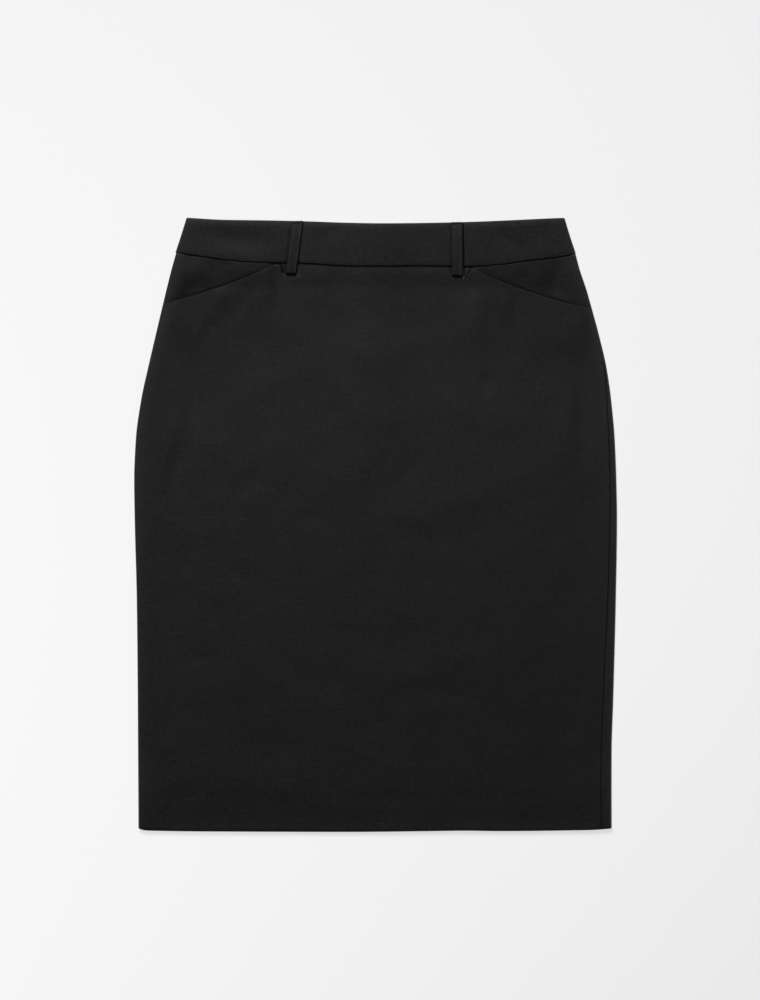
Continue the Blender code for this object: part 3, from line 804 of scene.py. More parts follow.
# %% Rows of a piece
HEM_DEPTH = 32.0        # cloth turned up inside the hem
HEM_GAP = 0.4           # between the two layers there
HEM_BEND = CLOTH + HEM_GAP / 2
Path = namedtuple("Path", "base turn used")
ROW_EDGE = [0.0, 0.12, 0.3, 0.55, 0.9, 1.5, 2.5, 4.0]   # first rows from an edge, in millimetres
SEAM_EDGE = [0.0, 0.12, 0.3, 0.55, 0.9, 1.3, 1.5, 1.7, 1.9, 2.1, 2.3, 2.5, 2.7, 2.9, 3.1, 3.4, 4.0]
BODY_STEPS = 177
BEND_STEPS = 8
TURNED_STEPS = 9


def hemmed_path(top, foot, near=ROW_EDGE):
    """Rows from an upper edge to the hem, round its turn and up inside to the overlocked edge."""
    near = top + np.array(near)[:, None]
    bend_start = foot - HEM_BEND
    even = crowded(BODY_STEPS, (0.0,), width=0.03, crowd=3.0)[1:, None]
    body = np.concatenate([near, near[-1] + (bend_start - near[-1]) * even])
    bend = np.linspace(0.0, math.pi, BEND_STEPS + 1)[1:, None] + 0 * foot
    back = np.linspace(0.0, HEM_DEPTH - HEM_BEND, TURNED_STEPS + 1)[1:, None] + 0 * foot
    return Path(
        np.concatenate([body, bend_start + 0 * bend, bend_start - back]),
        np.concatenate([0 * body, bend, math.pi + 0 * back]),
        np.concatenate([body, bend_start + HEM_BEND * bend, bend_start + HEM_BEND * math.pi + back]),
    )


def plain_path(top, foot, steps, near=ROW_EDGE):
    """Rows from an upper edge to a lower one, crowded at both."""
    near = np.array(near)[:, None]
    even = np.linspace(0.0, 1.0, steps + 1)[1:-1, None]
    middle = top + near[-1] + (foot - top - 2 * near[-1]) * even
    base = np.concatenate([top + near, middle, foot - near[::-1]])
    return Path(base, 0 * base, base)


def lay_cloth(tube, runs, path, depth):
    """Points at a depth below the outer face: down is base + r sin turn and the whole depth is
    bend - r cos turn, with r = bend - depth. Returns them with each point's side, arc and down."""
    radius = HEM_BEND - depth
    down = path.base + radius * np.sin(path.turn)
    sunk = HEM_BEND - radius * np.cos(path.turn)
    side, arc = place_columns(runs, down)
    return tube.face(side, arc, down, -sunk), side, arc, down


sample_path = hemmed_path(np.array([0.0]), np.array([100.0]))
print(f"a hem at 100 mm uses {float(sample_path.used[-1, 0]):.0f} mm of cloth")

# %% [markdown]
# ## A rolled edge
#
# Cut paper ends in a square edge, but cloth never does: where it is seamed or folded it rolls over.
# A Bevel modifier would round every edge alike. Here the roll is part of the form: close to an edge
# the outer face drops by a quarter circle, whose radius is small at a seam and wide at a fold. The
# last columns and rows crowd together there so that the quarter circle has enough of them.

# %% Rolled edges
EDGE_ROLL = 0.65        # radius of the roll along an edge
SIDE_ROLL = 0.85        # and along a side seam
HEM_FLATTER = 0.85      # inside the hem, the seam allowances are pressed flatter by this share


def rolled(distance, radius):
    """Drop of a rolled edge, a quarter circle: r - sqrt(r^2 - (r - d)^2), and 0 past its radius."""
    inside = np.clip(1 - distance / radius, 0.0, 1.0)
    return radius * (1 - np.sqrt(1 - inside ** 2))


def edge_rolls(across, path, top_roll):
    """Drop of the outer face: the deepest of the rolls along the side seams, the upper edge and the
    lower one."""
    from_side_seam = np.minimum(np.abs(across - across[:, :1]), np.abs(across - across[:, -1:]))
    flatter = 1 - HEM_FLATTER * ease(path.turn)
    sides = rolled(from_side_seam, SIDE_ROLL) * flatter
    top = rolled(path.used - path.used[:1], top_roll)
    return np.maximum(np.maximum(sides, top), rolled(path.used[-1:] - path.used, EDGE_ROLL))


print(f"halfway along a roll the face has dropped by {float(rolled(0.5, 1.0)):.2f} of its radius")

# %% Painted sheen and painted shade
PAINTED_SHEEN_WIDTH = 2.2        # width of the pressed edges whose colour is painted lighter, a painted highlight
PAINTED_SHEEN_FOLD = 5.0         # and of the side folds
PAINTED_SHEEN_TOP = 0.1          # how much the upper edge is painted lighter, where a side fold has 1
PAINTED_SHEEN_HEM = 0.15         # and the hem
PAINTED_SHADE_FULL = 32.0     # painted shade darkens a panel fully over this width below its upper edge
PAINTED_SHADE_FADE = 62.0     # and less and less over this one


def painted_sheen_places(arc, path):
    """Painted sheen, the highest of three bells: exp(-|arc| / width) along a side fold, and
    share * exp(-(distance / width)^2) along the upper edge and the hem. It lightens the
    colour there as a painted highlight."""
    fold_edge = np.exp(-np.abs(arc) / PAINTED_SHEEN_FOLD)
    from_hem = (path.used - path.base.max(axis=0)) / (2 * PAINTED_SHEEN_WIDTH)
    top_edge = PAINTED_SHEEN_TOP * np.exp(-((path.used - path.used[:1]) / PAINTED_SHEEN_WIDTH) ** 2)
    return np.maximum(np.maximum(top_edge, fold_edge), PAINTED_SHEEN_HEM * np.exp(-from_hem ** 2))


# %% A piece of the tube
def tube_piece(name, node, tube, runs, path, over, rests_on, raise_all=None, raise_face=None,
               top_roll=EDGE_ROLL):
    """A shell on the tube. over is 1 where the cloth is measured over the top and -1 underneath.
    raise_all lifts both faces and raise_face only the outer one."""
    _, side, arc, down = lay_cloth(tube, runs, path, 0.0)
    across = side * (tube.middle(side, down) - over * arc)
    uv = np.stack([across, -path.used], axis=-1) * MM
    outer = lay_cloth(tube, runs, path, edge_rolls(across, path, top_roll))[0]
    inner = lay_cloth(tube, runs, path, tube.wall)[0]
    on_top = arc > 0
    if raise_all is not None:
        for face in (outer, inner):
            face[..., 2] += raise_all(face[..., 0], down) * on_top
    if raise_face is not None:
        outer[..., 2] += raise_face(outer[..., 0], down) * on_top
    # painted shade: 1 near the upper edge of a panel, fading out below, where the suiting darkens the
    # colour
    pressed = 1 - ease((path.used - path.used[:1] - PAINTED_SHADE_FULL) / PAINTED_SHADE_FADE)
    cloth_piece(name, node, outer, inner, uv, rests_on, worn=painted_sheen_places(arc, path),
                pressed=pressed)


# %% [markdown]
# ## The lip of a pocket mouth
#
# The front reaches from the left side seam, which has rolled underneath, to the right side seam,
# which has rolled onto the top. Along each pocket mouth its edge is folded under, so the last few
# millimetres are thicker. That small lip catches the light above and throws the thin dark line
# that shows where the pocket is.

# %% Mouth lip
MOUTH_LIP = 0.10
MOUTH_ROLL = 0.25       # the pressed edge of a pocket mouth is sharper than a seam
LIP_WIDTH = 8.0
LIP_START = 12.0        # distance along the mouth in which the lip grows


def mouth_lip(x, down):
    """Height of the folded lip: lip * exp(-(distance below the mouth / width)^2)."""
    open_part = ease((from_side(x, down) - MOUTH_TACK) / MOUTH_CLOSED)
    bell = np.exp(-((down - mouth(x)) / LIP_WIDTH) ** 2)
    return MOUTH_LIP * bell * along_mouth(x, LIP_START) * open_part


print(f"lip of the left mouth: {float(mouth_lip(-150.0, mouth(-150.0))):.2f} mm high")

# %% [markdown]
# ## Pressed in along the belt loops
#
# The iron goes over the finished belt loops too. Their folded edges are hard, so they leave a groove
# in the cloth on both sides, which is deepest beside the turned foot. The groove could be a dark line
# in the colour of the cloth, but then it would not turn with the light. It is a bell across the line
# of each edge, and it is kept shallower than the cloth is thick, because only the outer face is
# pressed in and it must not come out on the inside.

# %% Belt loops and their grooves
LOOP_WIDTH = 10.2
Loop = namedtuple("Loop", "name node top foot foot_down press out")
LOOPS = [               # press and out are the depth of the groove at the right edge and its place
    Loop("loop_left", "belt_loop_left", -77.5, -84.7, 56.8, 1.20, 0.60),
    Loop("loop_right", "belt_loop_right", 81.1, 81.5, 59.0, 0.85, 0.50),
]
PRESS_DEEP = 0.20       # depth of the groove at the left edge
PRESS_WIDE = 0.95
PRESS_LEFT = 0.4        # this far out from the edge
PRESS_DEEPER = 0.80     # at the foot it is this much deeper
PRESS_WIDER = 0.60      # and this much wider than at the head
PRESS_MOST = 0.85       # it never goes deeper than this share of the cloth
PRESS_END = 3.0         # and it dies out over this distance on each side of the foot


def loop_press(x, down, wall):
    """Depth to which the cloth is pressed in along the edges of each belt loop: a bell across the
    line of the edge, deeper and wider towards the foot, but less than the thickness of the wall."""
    total = np.zeros(np.broadcast(x, down).shape)
    for loop in LOOPS:
        lean = (loop.foot - loop.top) / loop.foot_down
        aside = x - (loop.top + lean * down)
        share = np.clip(down / loop.foot_down, 0.0, 1.0)
        wide = PRESS_WIDE * (1 + PRESS_WIDER * share)
        end = ease((loop.foot_down + PRESS_END - down) / (2 * PRESS_END))
        left = PRESS_DEEP * np.exp(-((aside + LOOP_WIDTH / 2 + PRESS_LEFT) / wide) ** 2)
        right = loop.press * np.exp(-((aside - LOOP_WIDTH / 2 - loop.out) / wide) ** 2)
        total = total + (left + right) * (1 + PRESS_DEEPER * share) * end
    return np.minimum(total, PRESS_MOST * wall)


for loop in LOOPS:
    beside = loop.foot + LOOP_WIDTH / 2 + loop.out
    groove = float(loop_press(beside, loop.foot_down - PRESS_END, CLOTH))
    print(f"{loop.name}: {groove:.2f} mm deep beside its foot")

# %% [markdown]
# ## The furrows of the bar tacks
#
# A bar tack is sewn beside each belt loop, at the upper end of the pocket mouth. Its tight zigzag
# pulls the cloth into a furrow, and the cloth heaps up in a small ridge along both sides of it. The
# threads come later. The furrow belongs to the cloth, because it is what catches the light.

# %% Furrows of the bar tacks
Tack = namedtuple("Tack", "name across down to_across to_down deep")
TACKS = [
    Tack("tack_left", -95.1, 46.9, -92.7, 54.4, 0.95),
    Tack("tack_right", 94.6, 51.2, 91.2, 61.0, 0.50),
]
TACK_FADE = 4.0         # distance in which the furrow dies out past each end
FURROW_WIDE = 0.70
RIDGE_HIGH = 0.26
RIDGE_WIDE = 0.80
RIDGE_PLACE = 1.7       # distance of the two ridges from the line of the tack


def tack_furrow(x, down):
    """With aside measured across the bar: ridge * exp(-((|aside| - place) / wide)^2) less
    deep * exp(-(aside / wide)^2), faded at its two ends."""
    total = np.zeros(np.broadcast(x, down).shape)
    for tack in TACKS:
        way = np.array([tack.to_across - tack.across, tack.to_down - tack.down])
        length = np.hypot(*way)
        dx, dd = x - tack.across, down - tack.down
        along = (dx * way[0] + dd * way[1]) / length
        aside = (dx * way[1] - dd * way[0]) / length
        ridges = np.exp(-((np.abs(aside) - RIDGE_PLACE) / RIDGE_WIDE) ** 2)
        shape = RIDGE_HIGH * ridges - tack.deep * np.exp(-(aside / FURROW_WIDE) ** 2)
        total = total + shape * ease(along / TACK_FADE + 1) * ease((length - along) / TACK_FADE + 1)
    return total


print(f"deepest furrow: {-float(tack_furrow(-94.0, 50.3)):.2f} mm")

# %% [markdown]
# ## The hem
#
# A pressed hem isn't flat. The turn stands up a little as a rim, and where the blind stitches catch
# the cloth inside, a faint line shows on the outside, just above the end of the turned cloth. They
# are two soft bells across the height, one up and one down, and a real stitch would not show more.

# %% What lifts the front
HEM_RIM = 0.22          # the pressed hem stands up this much
HEM_RIM_WIDE = 6.5
BLIND_STITCH = 0.07     # depth of the shallow line where the hem is caught inside
BLIND_WIDE = 2.2
BLIND_ABOVE = 1.5       # how far above the end of the turned cloth it lies
HEM_SIDE = 20.0         # both fade out over this distance from the sides


def front_relief(x, down):
    """What lifts both faces of the front: the hip piece under it, the drop at the waist seam, the
    thick turned edge of the hem, and the line of blind stitches."""
    above_hem = hem(x) - down
    rim = HEM_RIM * np.exp(-(above_hem / HEM_RIM_WIDE) ** 2)
    stitched = BLIND_STITCH * np.exp(-((above_hem - HEM_DEPTH - BLIND_ABOVE) / BLIND_WIDE) ** 2)
    pressed = (rim - stitched) * ease(from_side(x, down) / HEM_SIDE)
    return pocket_lift(x, down) + seam_sink(x, down) + pressed


def front_edges(x, down):
    """What shows on the outer face alone: the lip, the furrows and the grooves."""
    return mouth_lip(x, down) + tack_furrow(x, down) - loop_press(x, down, CLOTH)


print(f"the rim of the hem is {float(front_relief(0.0, hem(0.0))):.2f} mm high in the middle")

# %% Make the front
FRONT_STEPS = 84
front_runs = whole_front(skirt, FRONT_STEPS)
front_path = hemmed_path(meet_edge(skirt, front_runs, front_top), meet_edge(skirt, front_runs, hem),
                         SEAM_EDGE)
tube_piece("front", "front_panel", skirt, front_runs, front_path, 1,
           ["hip_left", "hip_right", "back_left", "back_right"], raise_all=front_relief,
           raise_face=front_edges, top_roll=MOUTH_ROLL)

# %% [markdown]
# ## The backs and the hip pieces
#
# The two backs are cut alike and meet in the centre back seam, but they don't lie alike. The right
# one comes up round the right side and shows as a strip there. The hip pieces show above the pocket
# mouths and run on under the front. Nothing props them up beside the mouth, so they sink there:
# sharply right beside the front's edge and softly above it. Each has two creases of its own, a deep
# one near the side and a shallow one further in.

# %% Make the backs
for name, node, runs in (("back_right", "back_panel_right", right_back(skirt)),
                         ("back_left", "back_panel_left", left_back(skirt))):
    path = hemmed_path(meet_edge(skirt, runs, skirt_top), meet_edge(skirt, runs, hem))
    tube_piece(name, node, skirt, runs, path, -1, ["floor"])

# %% How the hip pieces lie
DIP_DEEP = 0.42         # a hip piece sinks this much right beside the front's edge
DIP_SHARP = 1.4
DIP_SOFT = 0.55         # and this much over a wider stretch above it
DIP_WIDE = 24.0
HIP_SINK = 0.85         # share of the front's drop at the waist seam


def hip_dip(x, down):
    """How far a hip piece sinks towards the mouth: deep * exp(-(above / sharp)^2) plus
    soft * exp(-(above / wide)^2), none where the mouth is sewn shut; it stays sunk under the
    front."""
    above = np.maximum(mouth(x) - down, 0.0)
    sunk = DIP_DEEP * np.exp(-(above / DIP_SHARP) ** 2) + DIP_SOFT * np.exp(-(above / DIP_WIDE) ** 2)
    open_part = ease((from_side(x, down) - MOUTH_TACK) / MOUTH_CLOSED)
    return -sunk * along_mouth(x, DIP_START) * open_part


def hip_relief(x, down):
    """Its own troughs, what keeps it clear of the front where that is held down, and the dip
    towards the mouth or the drop at the waist seam, whichever is deeper."""
    sunk = np.minimum(hip_dip(x, down), HIP_SINK * seam_sink(x, down))
    troughs = crease_height(HIP_CREASES, x, down) * ease(from_side(x, down) / SEAM_FADE)
    return sunk + troughs - LIFT * held_down(x, down)


print(f"the left hip piece sinks by {-float(hip_dip(-170.0, mouth(-170.0))):.2f} mm at its mouth")

# %% Make the hip pieces
HIP_ROWS = 56
HIP_STEPS = 40
HIP_INNER = 18.0        # how far a hip piece runs on past the upper end of the mouth


def hip_end(side, mouth_top):
    """Arc of the inner edge of a hip piece, a set distance in from the end of its mouth."""
    def end(down):
        flat = skirt.reach(side, down) - skirt.fold(down) - abs(mouth_top) + HIP_INNER
        return skirt.quarter(down) + flat
    return end


def hip_left_runs():
    """Columns of the left hip piece, from the side seam underneath, up round the fold and in."""
    fold = left_half(skirt)[0]
    return [fold, new_run(-1, skirt.quarter, hip_end(-1, MOUTH_LEFT), PAST_FOLD, HIP_STEPS)]


def hip_right_runs():
    """Columns of the right hip piece, from its inner end out to the side seam."""
    seam = right_half(skirt)[0].start
    return turned([new_run(1, seam, hip_end(1, MOUTH_RIGHT), TOP_SEAM, HIP_STEPS)])


for name, node, runs, under in (("hip_left", "hip_facing_left", hip_left_runs(), "back_left"),
                                ("hip_right", "hip_facing_right", hip_right_runs(), "back_right")):
    path = plain_path(meet_edge(skirt, runs, hip_top), meet_edge(skirt, runs, facing_foot), HIP_ROWS,
                      SEAM_EDGE)
    tube_piece(name, node, skirt, runs, path, 1, [under], raise_all=hip_relief)

# %% [markdown]
# ## The waistband
#
# The waistband is cut in a curve, interlined and folded, so it is stiffer and thicker than the
# skirt. Its top edge is a fold and gets a wider roll than a seam does. A thick band that was pressed
# isn't flat from edge to edge either: its face rounds off in a brow below the fold and again in a
# foot above the seam, which is why the light changes slowly across it.

# %% Make the waistband
BAND_STEPS = 24
BAND_STEPS_ACROSS = 110
TOP_ROLL = 0.9          # radius of the fold along the top of the waistband
BROW_DROP = 0.40        # the face drops by this much towards the fold
BROW_WIDE = 7.0
FOOT_DROP = 0.22        # and by this much towards the seam
FOOT_WIDE = 5.5


def band_brow(x, down):
    """The face of the band rounds off towards its folded top and towards its seam, each by
    drop * (1 - distance / wide)^2, and is pressed in along the edges of the belt loops."""
    below = np.clip((down - band_top(x)) / BROW_WIDE, 0.0, 1.0)
    above = np.clip((band_foot(x) - down) / FOOT_WIDE, 0.0, 1.0)
    brow = BROW_DROP * (1 - below) ** 2 + FOOT_DROP * (1 - above) ** 2
    return -brow - loop_press(x, down, BAND_CLOTH)


for name, node, runs, over, under in (
        ("band_front", "waistband_front", whole_front(band, BAND_STEPS_ACROSS), 1,
         ["band_back_left", "band_back_right"]),
        ("band_back_right", "waistband_back_right", right_back(band), -1, ["floor"]),
        ("band_back_left", "waistband_back_left", left_back(band), -1, ["floor"])):
    path = plain_path(meet_edge(band, runs, band_top), meet_edge(band, runs, band_foot), BAND_STEPS)
    tube_piece(name, node, band, runs, path, over, under, raise_face=band_brow, top_roll=TOP_ROLL)

# %% [markdown]
# ## Belt loops
#
# A belt loop is a strip folded in three, so both of its long edges are folds. It is caught at the top
# of the waistband, arches off the band a little in its middle, and is turned under at its foot
# below the waist seam. It doesn't lie level: its right edge stands higher than its left one, and
# both edges curl up. The middle line is a path in two dimensions, made of a part turn, an arch, half
# a turn and a short straight, and the strip is that path carried across. A row of stitches pulls the
# loop in near its top, and a painted sheen lightens the colour just inside the folds as a painted
# highlight.

# %% The line of a belt loop
LOOP_CLOTH = 1.0        # one layer of a belt loop, itself folded
LOOP_HEAD = 1.25        # how far down from the top edge the turn over the waistband is centred
LOOP_TURN = 80.0        # degrees of that turn
LOOP_TAIL = 8.0         # length of the part that is turned under at the foot
LOOP_BULGE = 0.3        # the turn at the foot is this much fuller than a tight one
LOOP_ARCH = [           # how far the loop stands off a straight line, from its head to its foot
    (0.0, 0.0), (0.15, 0.55), (0.30, 0.85), (0.60, 0.90), (0.80, 0.65), (1.0, 0.0)]
HEAD_POINTS, RUN_POINTS, FOOT_POINTS, TAIL_POINTS = 9, 42, 13, 8

loop_arch = edge_curve(LOOP_ARCH)


def loop_line(loop):
    """Down and height along a loop: a part turn over the waistband, an arched run to the foot, half
    a turn there and a short straight back underneath."""
    head = float(band_top(loop.top)) + LOOP_HEAD
    radius = LOOP_CLOTH + GAP
    head_height = float(band.upper(loop.top, head)) + GAP + LOOP_CLOTH
    over = np.radians(np.linspace(LOOP_TURN, 0.0, HEAD_POINTS))
    skirt_height = skirt.upper(loop.foot, loop.foot_down) + pocket_lift(loop.foot, loop.foot_down)
    foot_radius = LOOP_CLOTH + GAP / 2 + LOOP_BULGE
    foot_height = float(skirt_height) + GAP + 2 * foot_radius
    foot_start = loop.foot_down - foot_radius
    run = np.linspace(0.0, 1.0, RUN_POINTS)[1:, None]
    start = np.array([head, head_height])
    end = np.array([foot_start, foot_height])
    arch = np.concatenate([0 * run, loop_arch(run)], axis=-1)
    bend = np.linspace(0.0, math.pi, FOOT_POINTS)[1:]
    tail = np.linspace(0.0, LOOP_TAIL - foot_radius, TAIL_POINTS)[1:]
    return np.concatenate([
        np.stack([head - radius * np.sin(over), head_height - radius * (1 - np.cos(over))], axis=-1),
        start + (end - start) * run + arch,
        np.stack([foot_start + foot_radius * np.sin(bend),
                  foot_height - foot_radius * (1 - np.cos(bend))], axis=-1),
        np.stack([foot_start - tail, np.full(len(tail), foot_height - 2 * foot_radius)], axis=-1),
    ])


print(f"points along a loop: {len(loop_line(LOOPS[0]))}")

# %% Make the belt loops
LOOP_COLUMNS = np.array([0.0, 0.12, 0.3, 0.55, 0.85, 1.3, 2.0, 3.0, 4.0])
LOOP_ROLL = 0.5
LOOP_CUP = 0.12         # both long edges curl up a little
LOOP_TILT = 0.14        # rise for each millimetre from the left edge to the right one
LOOP_STITCH = 3.4       # distance of the row of stitches from the loop's end, along it
LOOP_SINK = 0.35        # how deep it pulls the loop in
LOOP_SINK_WIDE = 1.1
LOOP_PAINTED_SHEEN = 0.34        # how much the folds are painted lighter, a painted highlight
LOOP_SHEEN_IN = 1.5      # distance of that line from the edge
LOOP_SHEEN_WIDE = 0.9


def belt_loop(loop):
    """The loop's line carried across its width. The inner face is one layer in, along the line's
    normal (dz, -dy), and both long edges are rolled."""
    line = loop_line(loop)
    step = np.gradient(line, axis=0)
    step[:, 0] = -step[:, 0]
    step /= np.linalg.norm(step, axis=1, keepdims=True)
    normal = np.stack([step[:, 1], -step[:, 0]], axis=-1)
    used = np.concatenate([[0.0], np.cumsum(np.linalg.norm(np.diff(line, axis=0), axis=1))])
    half = np.concatenate([LOOP_COLUMNS - LOOP_WIDTH / 2, [0.0]])
    across = np.concatenate([half, -half[-2::-1]])
    lean = (loop.foot - loop.top) / (loop.foot_down - line[:, 0].min())
    middle = loop.top + lean * (line[:, 0] - line[:, 0].min())

    def face(depth):
        points = np.zeros((len(line), len(across), 3))
        points[..., 0] = middle[:, None] + across
        points[..., 1] = LENGTH / 2 - line[:, :1] - depth * normal[:, :1]
        points[..., 2] = line[:, 1:] - depth * normal[:, 1:] + LOOP_TILT * across
        return points

    from_edge = LOOP_WIDTH / 2 - np.abs(across)
    edge = rolled(from_edge, LOOP_ROLL) - LOOP_CUP * (2 * across / LOOP_WIDTH) ** 4
    stitched = LOOP_SINK * np.exp(-((used[:, None] - LOOP_STITCH) / LOOP_SINK_WIDE) ** 2)
    outer = face(edge + stitched)
    inner = face(np.full(len(across), LOOP_CLOTH))
    uv = np.stack(np.broadcast_arrays(across, -used[:, None]), axis=-1) * MM
    # painted highlight: the colour is lighter along a line just inside each folded edge
    shine = LOOP_PAINTED_SHEEN * np.exp(-((from_edge - LOOP_SHEEN_IN) / LOOP_SHEEN_WIDE) ** 2)
    cloth_piece(loop.name, loop.node, outer, inner, uv, ["band_front", "front"],
                worn=shine + 0 * used[:, None])


for loop in LOOPS:
    belt_loop(loop)

# %% [markdown]
# ## The zip
#
# The skirt closes with a zip behind the centre back seam, between its two layers. Nobody sees it
# while the skirt lies like this, but it is there: a woven tape, a pair of interlocked nylon coils
# and a slider. A coil is a thread carried along a helix, which could be a curve with a bevel. But
# then each stitch would be an object of its own, so threads of every kind come from one function,
# which carries a small circle along many paths at once.

# %% Threads
def thread_mesh(paths, radius, reference, sides=6):
    """Vertices and faces of tubes along an array of paths (count, steps, 3): a circle of points
    p + r (side cos a + normal sin a), where side is across the path and the reference direction."""
    count, steps = paths.shape[:2]
    along = np.gradient(paths, axis=1)
    along /= np.linalg.norm(along, axis=-1, keepdims=True)
    side = np.cross(along, reference)
    side /= np.linalg.norm(side, axis=-1, keepdims=True)
    normal = np.cross(side, along)
    angle = np.linspace(0.0, 2 * math.pi, sides, endpoint=False)
    ring = np.cos(angle)[:, None] * side[:, :, None] + np.sin(angle)[:, None] * normal[:, :, None]
    points = paths[:, :, None] + radius * ring
    index = np.arange(count * steps * sides).reshape(count, steps, sides)
    onward = np.roll(index, -1, axis=2)
    quads = np.stack([index[:, :-1], onward[:, :-1], onward[:, 1:], index[:, 1:]], axis=-1)
    caps = np.concatenate([index[:, 0, ::-1], index[:, -1]])
    return points.reshape(-1, 3), quads.reshape(-1, 4).tolist() + caps.tolist()


def join_parts(name, parts):
    """One mesh object from several lists of points and faces."""
    points, faces, first = [], [], 0
    for part_points, part_faces in parts:
        points.append(part_points)
        faces += [[first + corner for corner in face] for face in part_faces]
        first += len(part_points)
    piece = new_mesh(name, np.concatenate(points), faces)
    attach(piece, "root")
    print(f"{name}: {len(faces)} faces")
    return piece


# %% The tape
TAPE = 0.8              # thickness of the tape
TAPE_ROWS = 120
TAPE_EDGE = [0.0, 0.1, 0.25, 0.5]   # first columns from its edges
TAPE_COLUMNS = 9        # and the number of even ones from there to its middle
TAPE_ROLL = 0.35
ZIP_WIDTH = 24.0
ZIP_TOP = 9.0
ZIP_STEP = 6.0          # the tape climbs onto the waistband over this distance
ZIP_CLEAR = 1.0         # and starts to this far below the waist seam
ZIP_CLIMB = float(waist_seam(0.0)) + ZIP_CLEAR


def tape_top(down):
    """Height of the tape's upper face: it steps up from the skirt onto the waistband."""
    back = np.interp(down, [ZIP_CLIMB, ZIP_CLIMB + ZIP_STEP], [BAND_CLOTH, CLOTH])
    return back + GAP + TAPE


def zip_tape():
    """A flat strip whose selvedges are rolled."""
    half = np.concatenate([TAPE_EDGE, np.linspace(1.0, ZIP_WIDTH / 2, TAPE_COLUMNS)])
    across = np.concatenate([half, ZIP_WIDTH - half[-2::-1]]) - ZIP_WIDTH / 2
    down = np.linspace(ZIP_TOP, ZIP_END, TAPE_ROWS)[:, None] + 0 * across

    def face(depth):
        return np.stack([across + 0 * down, LENGTH / 2 - down, tape_top(down) - depth], axis=-1)

    edge = rolled(ZIP_WIDTH / 2 - np.abs(across), TAPE_ROLL) + 0 * down
    uv = np.stack([across + 0 * down, -down], axis=-1) * MM
    cloth_piece("tape", "zip_tape", face(edge), face(TAPE + 0 * down), uv,
                ["back_left", "back_right", "band_back_left", "band_back_right"])


zip_tape()

# %% The coils
COIL_PITCH = 1.3
COIL_WIDE = 0.62
COIL_APART = 0.55       # distance of each coil from the middle, as a share of that
COIL_HIGH = 0.2
COIL_THREAD = 0.12
COIL_STEPS = 10         # points in one turn
COIL_SIDES = 5
COIL_CLEAR = 0.02       # between the coil and the tape
SLIDER_LONG = 8.0
COIL_START = ZIP_TOP + SLIDER_LONG + 0.6    # just below the slider
COIL_END = ZIP_END - 9.0                    # where the bottom stop is


def coil_paths():
    """Two helices side by side: x = middle + wide cos a, z = base + high sin a, and the coil moves
    one pitch down in each turn. The right one is half a turn ahead, so their turns interlock."""
    turns = int((COIL_END - COIL_START) / COIL_PITCH)
    angle = np.linspace(0.0, 2 * math.pi * turns, turns * COIL_STEPS + 1)
    down = COIL_START + COIL_PITCH * angle / (2 * math.pi)
    base = tape_top(down) + COIL_HIGH + COIL_THREAD + COIL_CLEAR
    return np.stack([
        np.stack([side * COIL_APART * COIL_WIDE + COIL_WIDE * np.cos(angle + ahead),
                  LENGTH / 2 - down, base + COIL_HIGH * np.sin(angle + ahead)], axis=-1)
        for side, ahead in ((-1, 0.0), (1, math.pi))])


down_the_skirt = np.array([0.0, 1.0, 0.0])
join_parts("zip_coils", [thread_mesh(coil_paths(), COIL_THREAD, down_the_skirt, COIL_SIDES)])


# %% [markdown]
# ## The slider
#
# The slider is two small plates joined by a bridge, with a flat pull that hangs down over them. They
# could be cubes with a Bevel modifier. A superellipsoid does the same with one formula, and at this
# size its soft corners look like cast and lacquered metal.

# %% The slider
Block = namedtuple("Block", "along height half corner")
SLIDER_BLOCKS = [       # distance up from the slider's lower end, height, half sizes, roundness
    Block(4.0, 0.2, (2.5, 4.0, 0.2), 0.35),     # back plate
    Block(4.4, 0.75, (2.2, 3.5, 0.15), 0.35),   # front plate
    Block(5.6, 0.5, (0.7, 2.0, 0.4), 0.35),     # bridge between them
    Block(-4.0, 0.85, (1.7, 8.0, 0.2), 0.3),    # pull
]
BLOCK_RINGS = 14
BLOCK_AROUND = 28


def rounded_block(middle, half, corner):
    """A superellipsoid: x = a c(v) c(u), y = b c(v) s(u), z = h s(v), where c and s are the cosine
    and sine raised to a small power with their signs kept, which squares the shape off."""
    def power(value):
        return np.sign(value) * np.abs(value) ** corner

    v = np.linspace(-math.pi / 2, math.pi / 2, BLOCK_RINGS)[1:-1, None]
    u = np.linspace(0.0, 2 * math.pi, BLOCK_AROUND, endpoint=False)
    unit = np.stack(np.broadcast_arrays(power(np.cos(v)) * power(np.cos(u)),
                                        power(np.cos(v)) * power(np.sin(u)),
                                        power(np.sin(v))), axis=-1)
    points = np.array(middle) + unit * np.array(half)
    index = np.arange(points[..., 0].size).reshape(points.shape[:2])
    onward = np.roll(index, -1, axis=1)
    quads = np.stack([index[:-1], onward[:-1], onward[1:], index[1:]], axis=-1).reshape(-1, 4)
    caps = [index[0, ::-1].tolist(), index[-1].tolist()]
    return points.reshape(-1, 3), quads.tolist() + caps


slider_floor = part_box("zip_slider")[0][2] / MM
slider_end = LENGTH / 2 - ZIP_TOP - SLIDER_LONG
slider = join_parts("slider", [
    rounded_block((0.0, slider_end + block.along, slider_floor + block.height), block.half,
                  block.corner) for block in SLIDER_BLOCKS])
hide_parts("zip_slider")
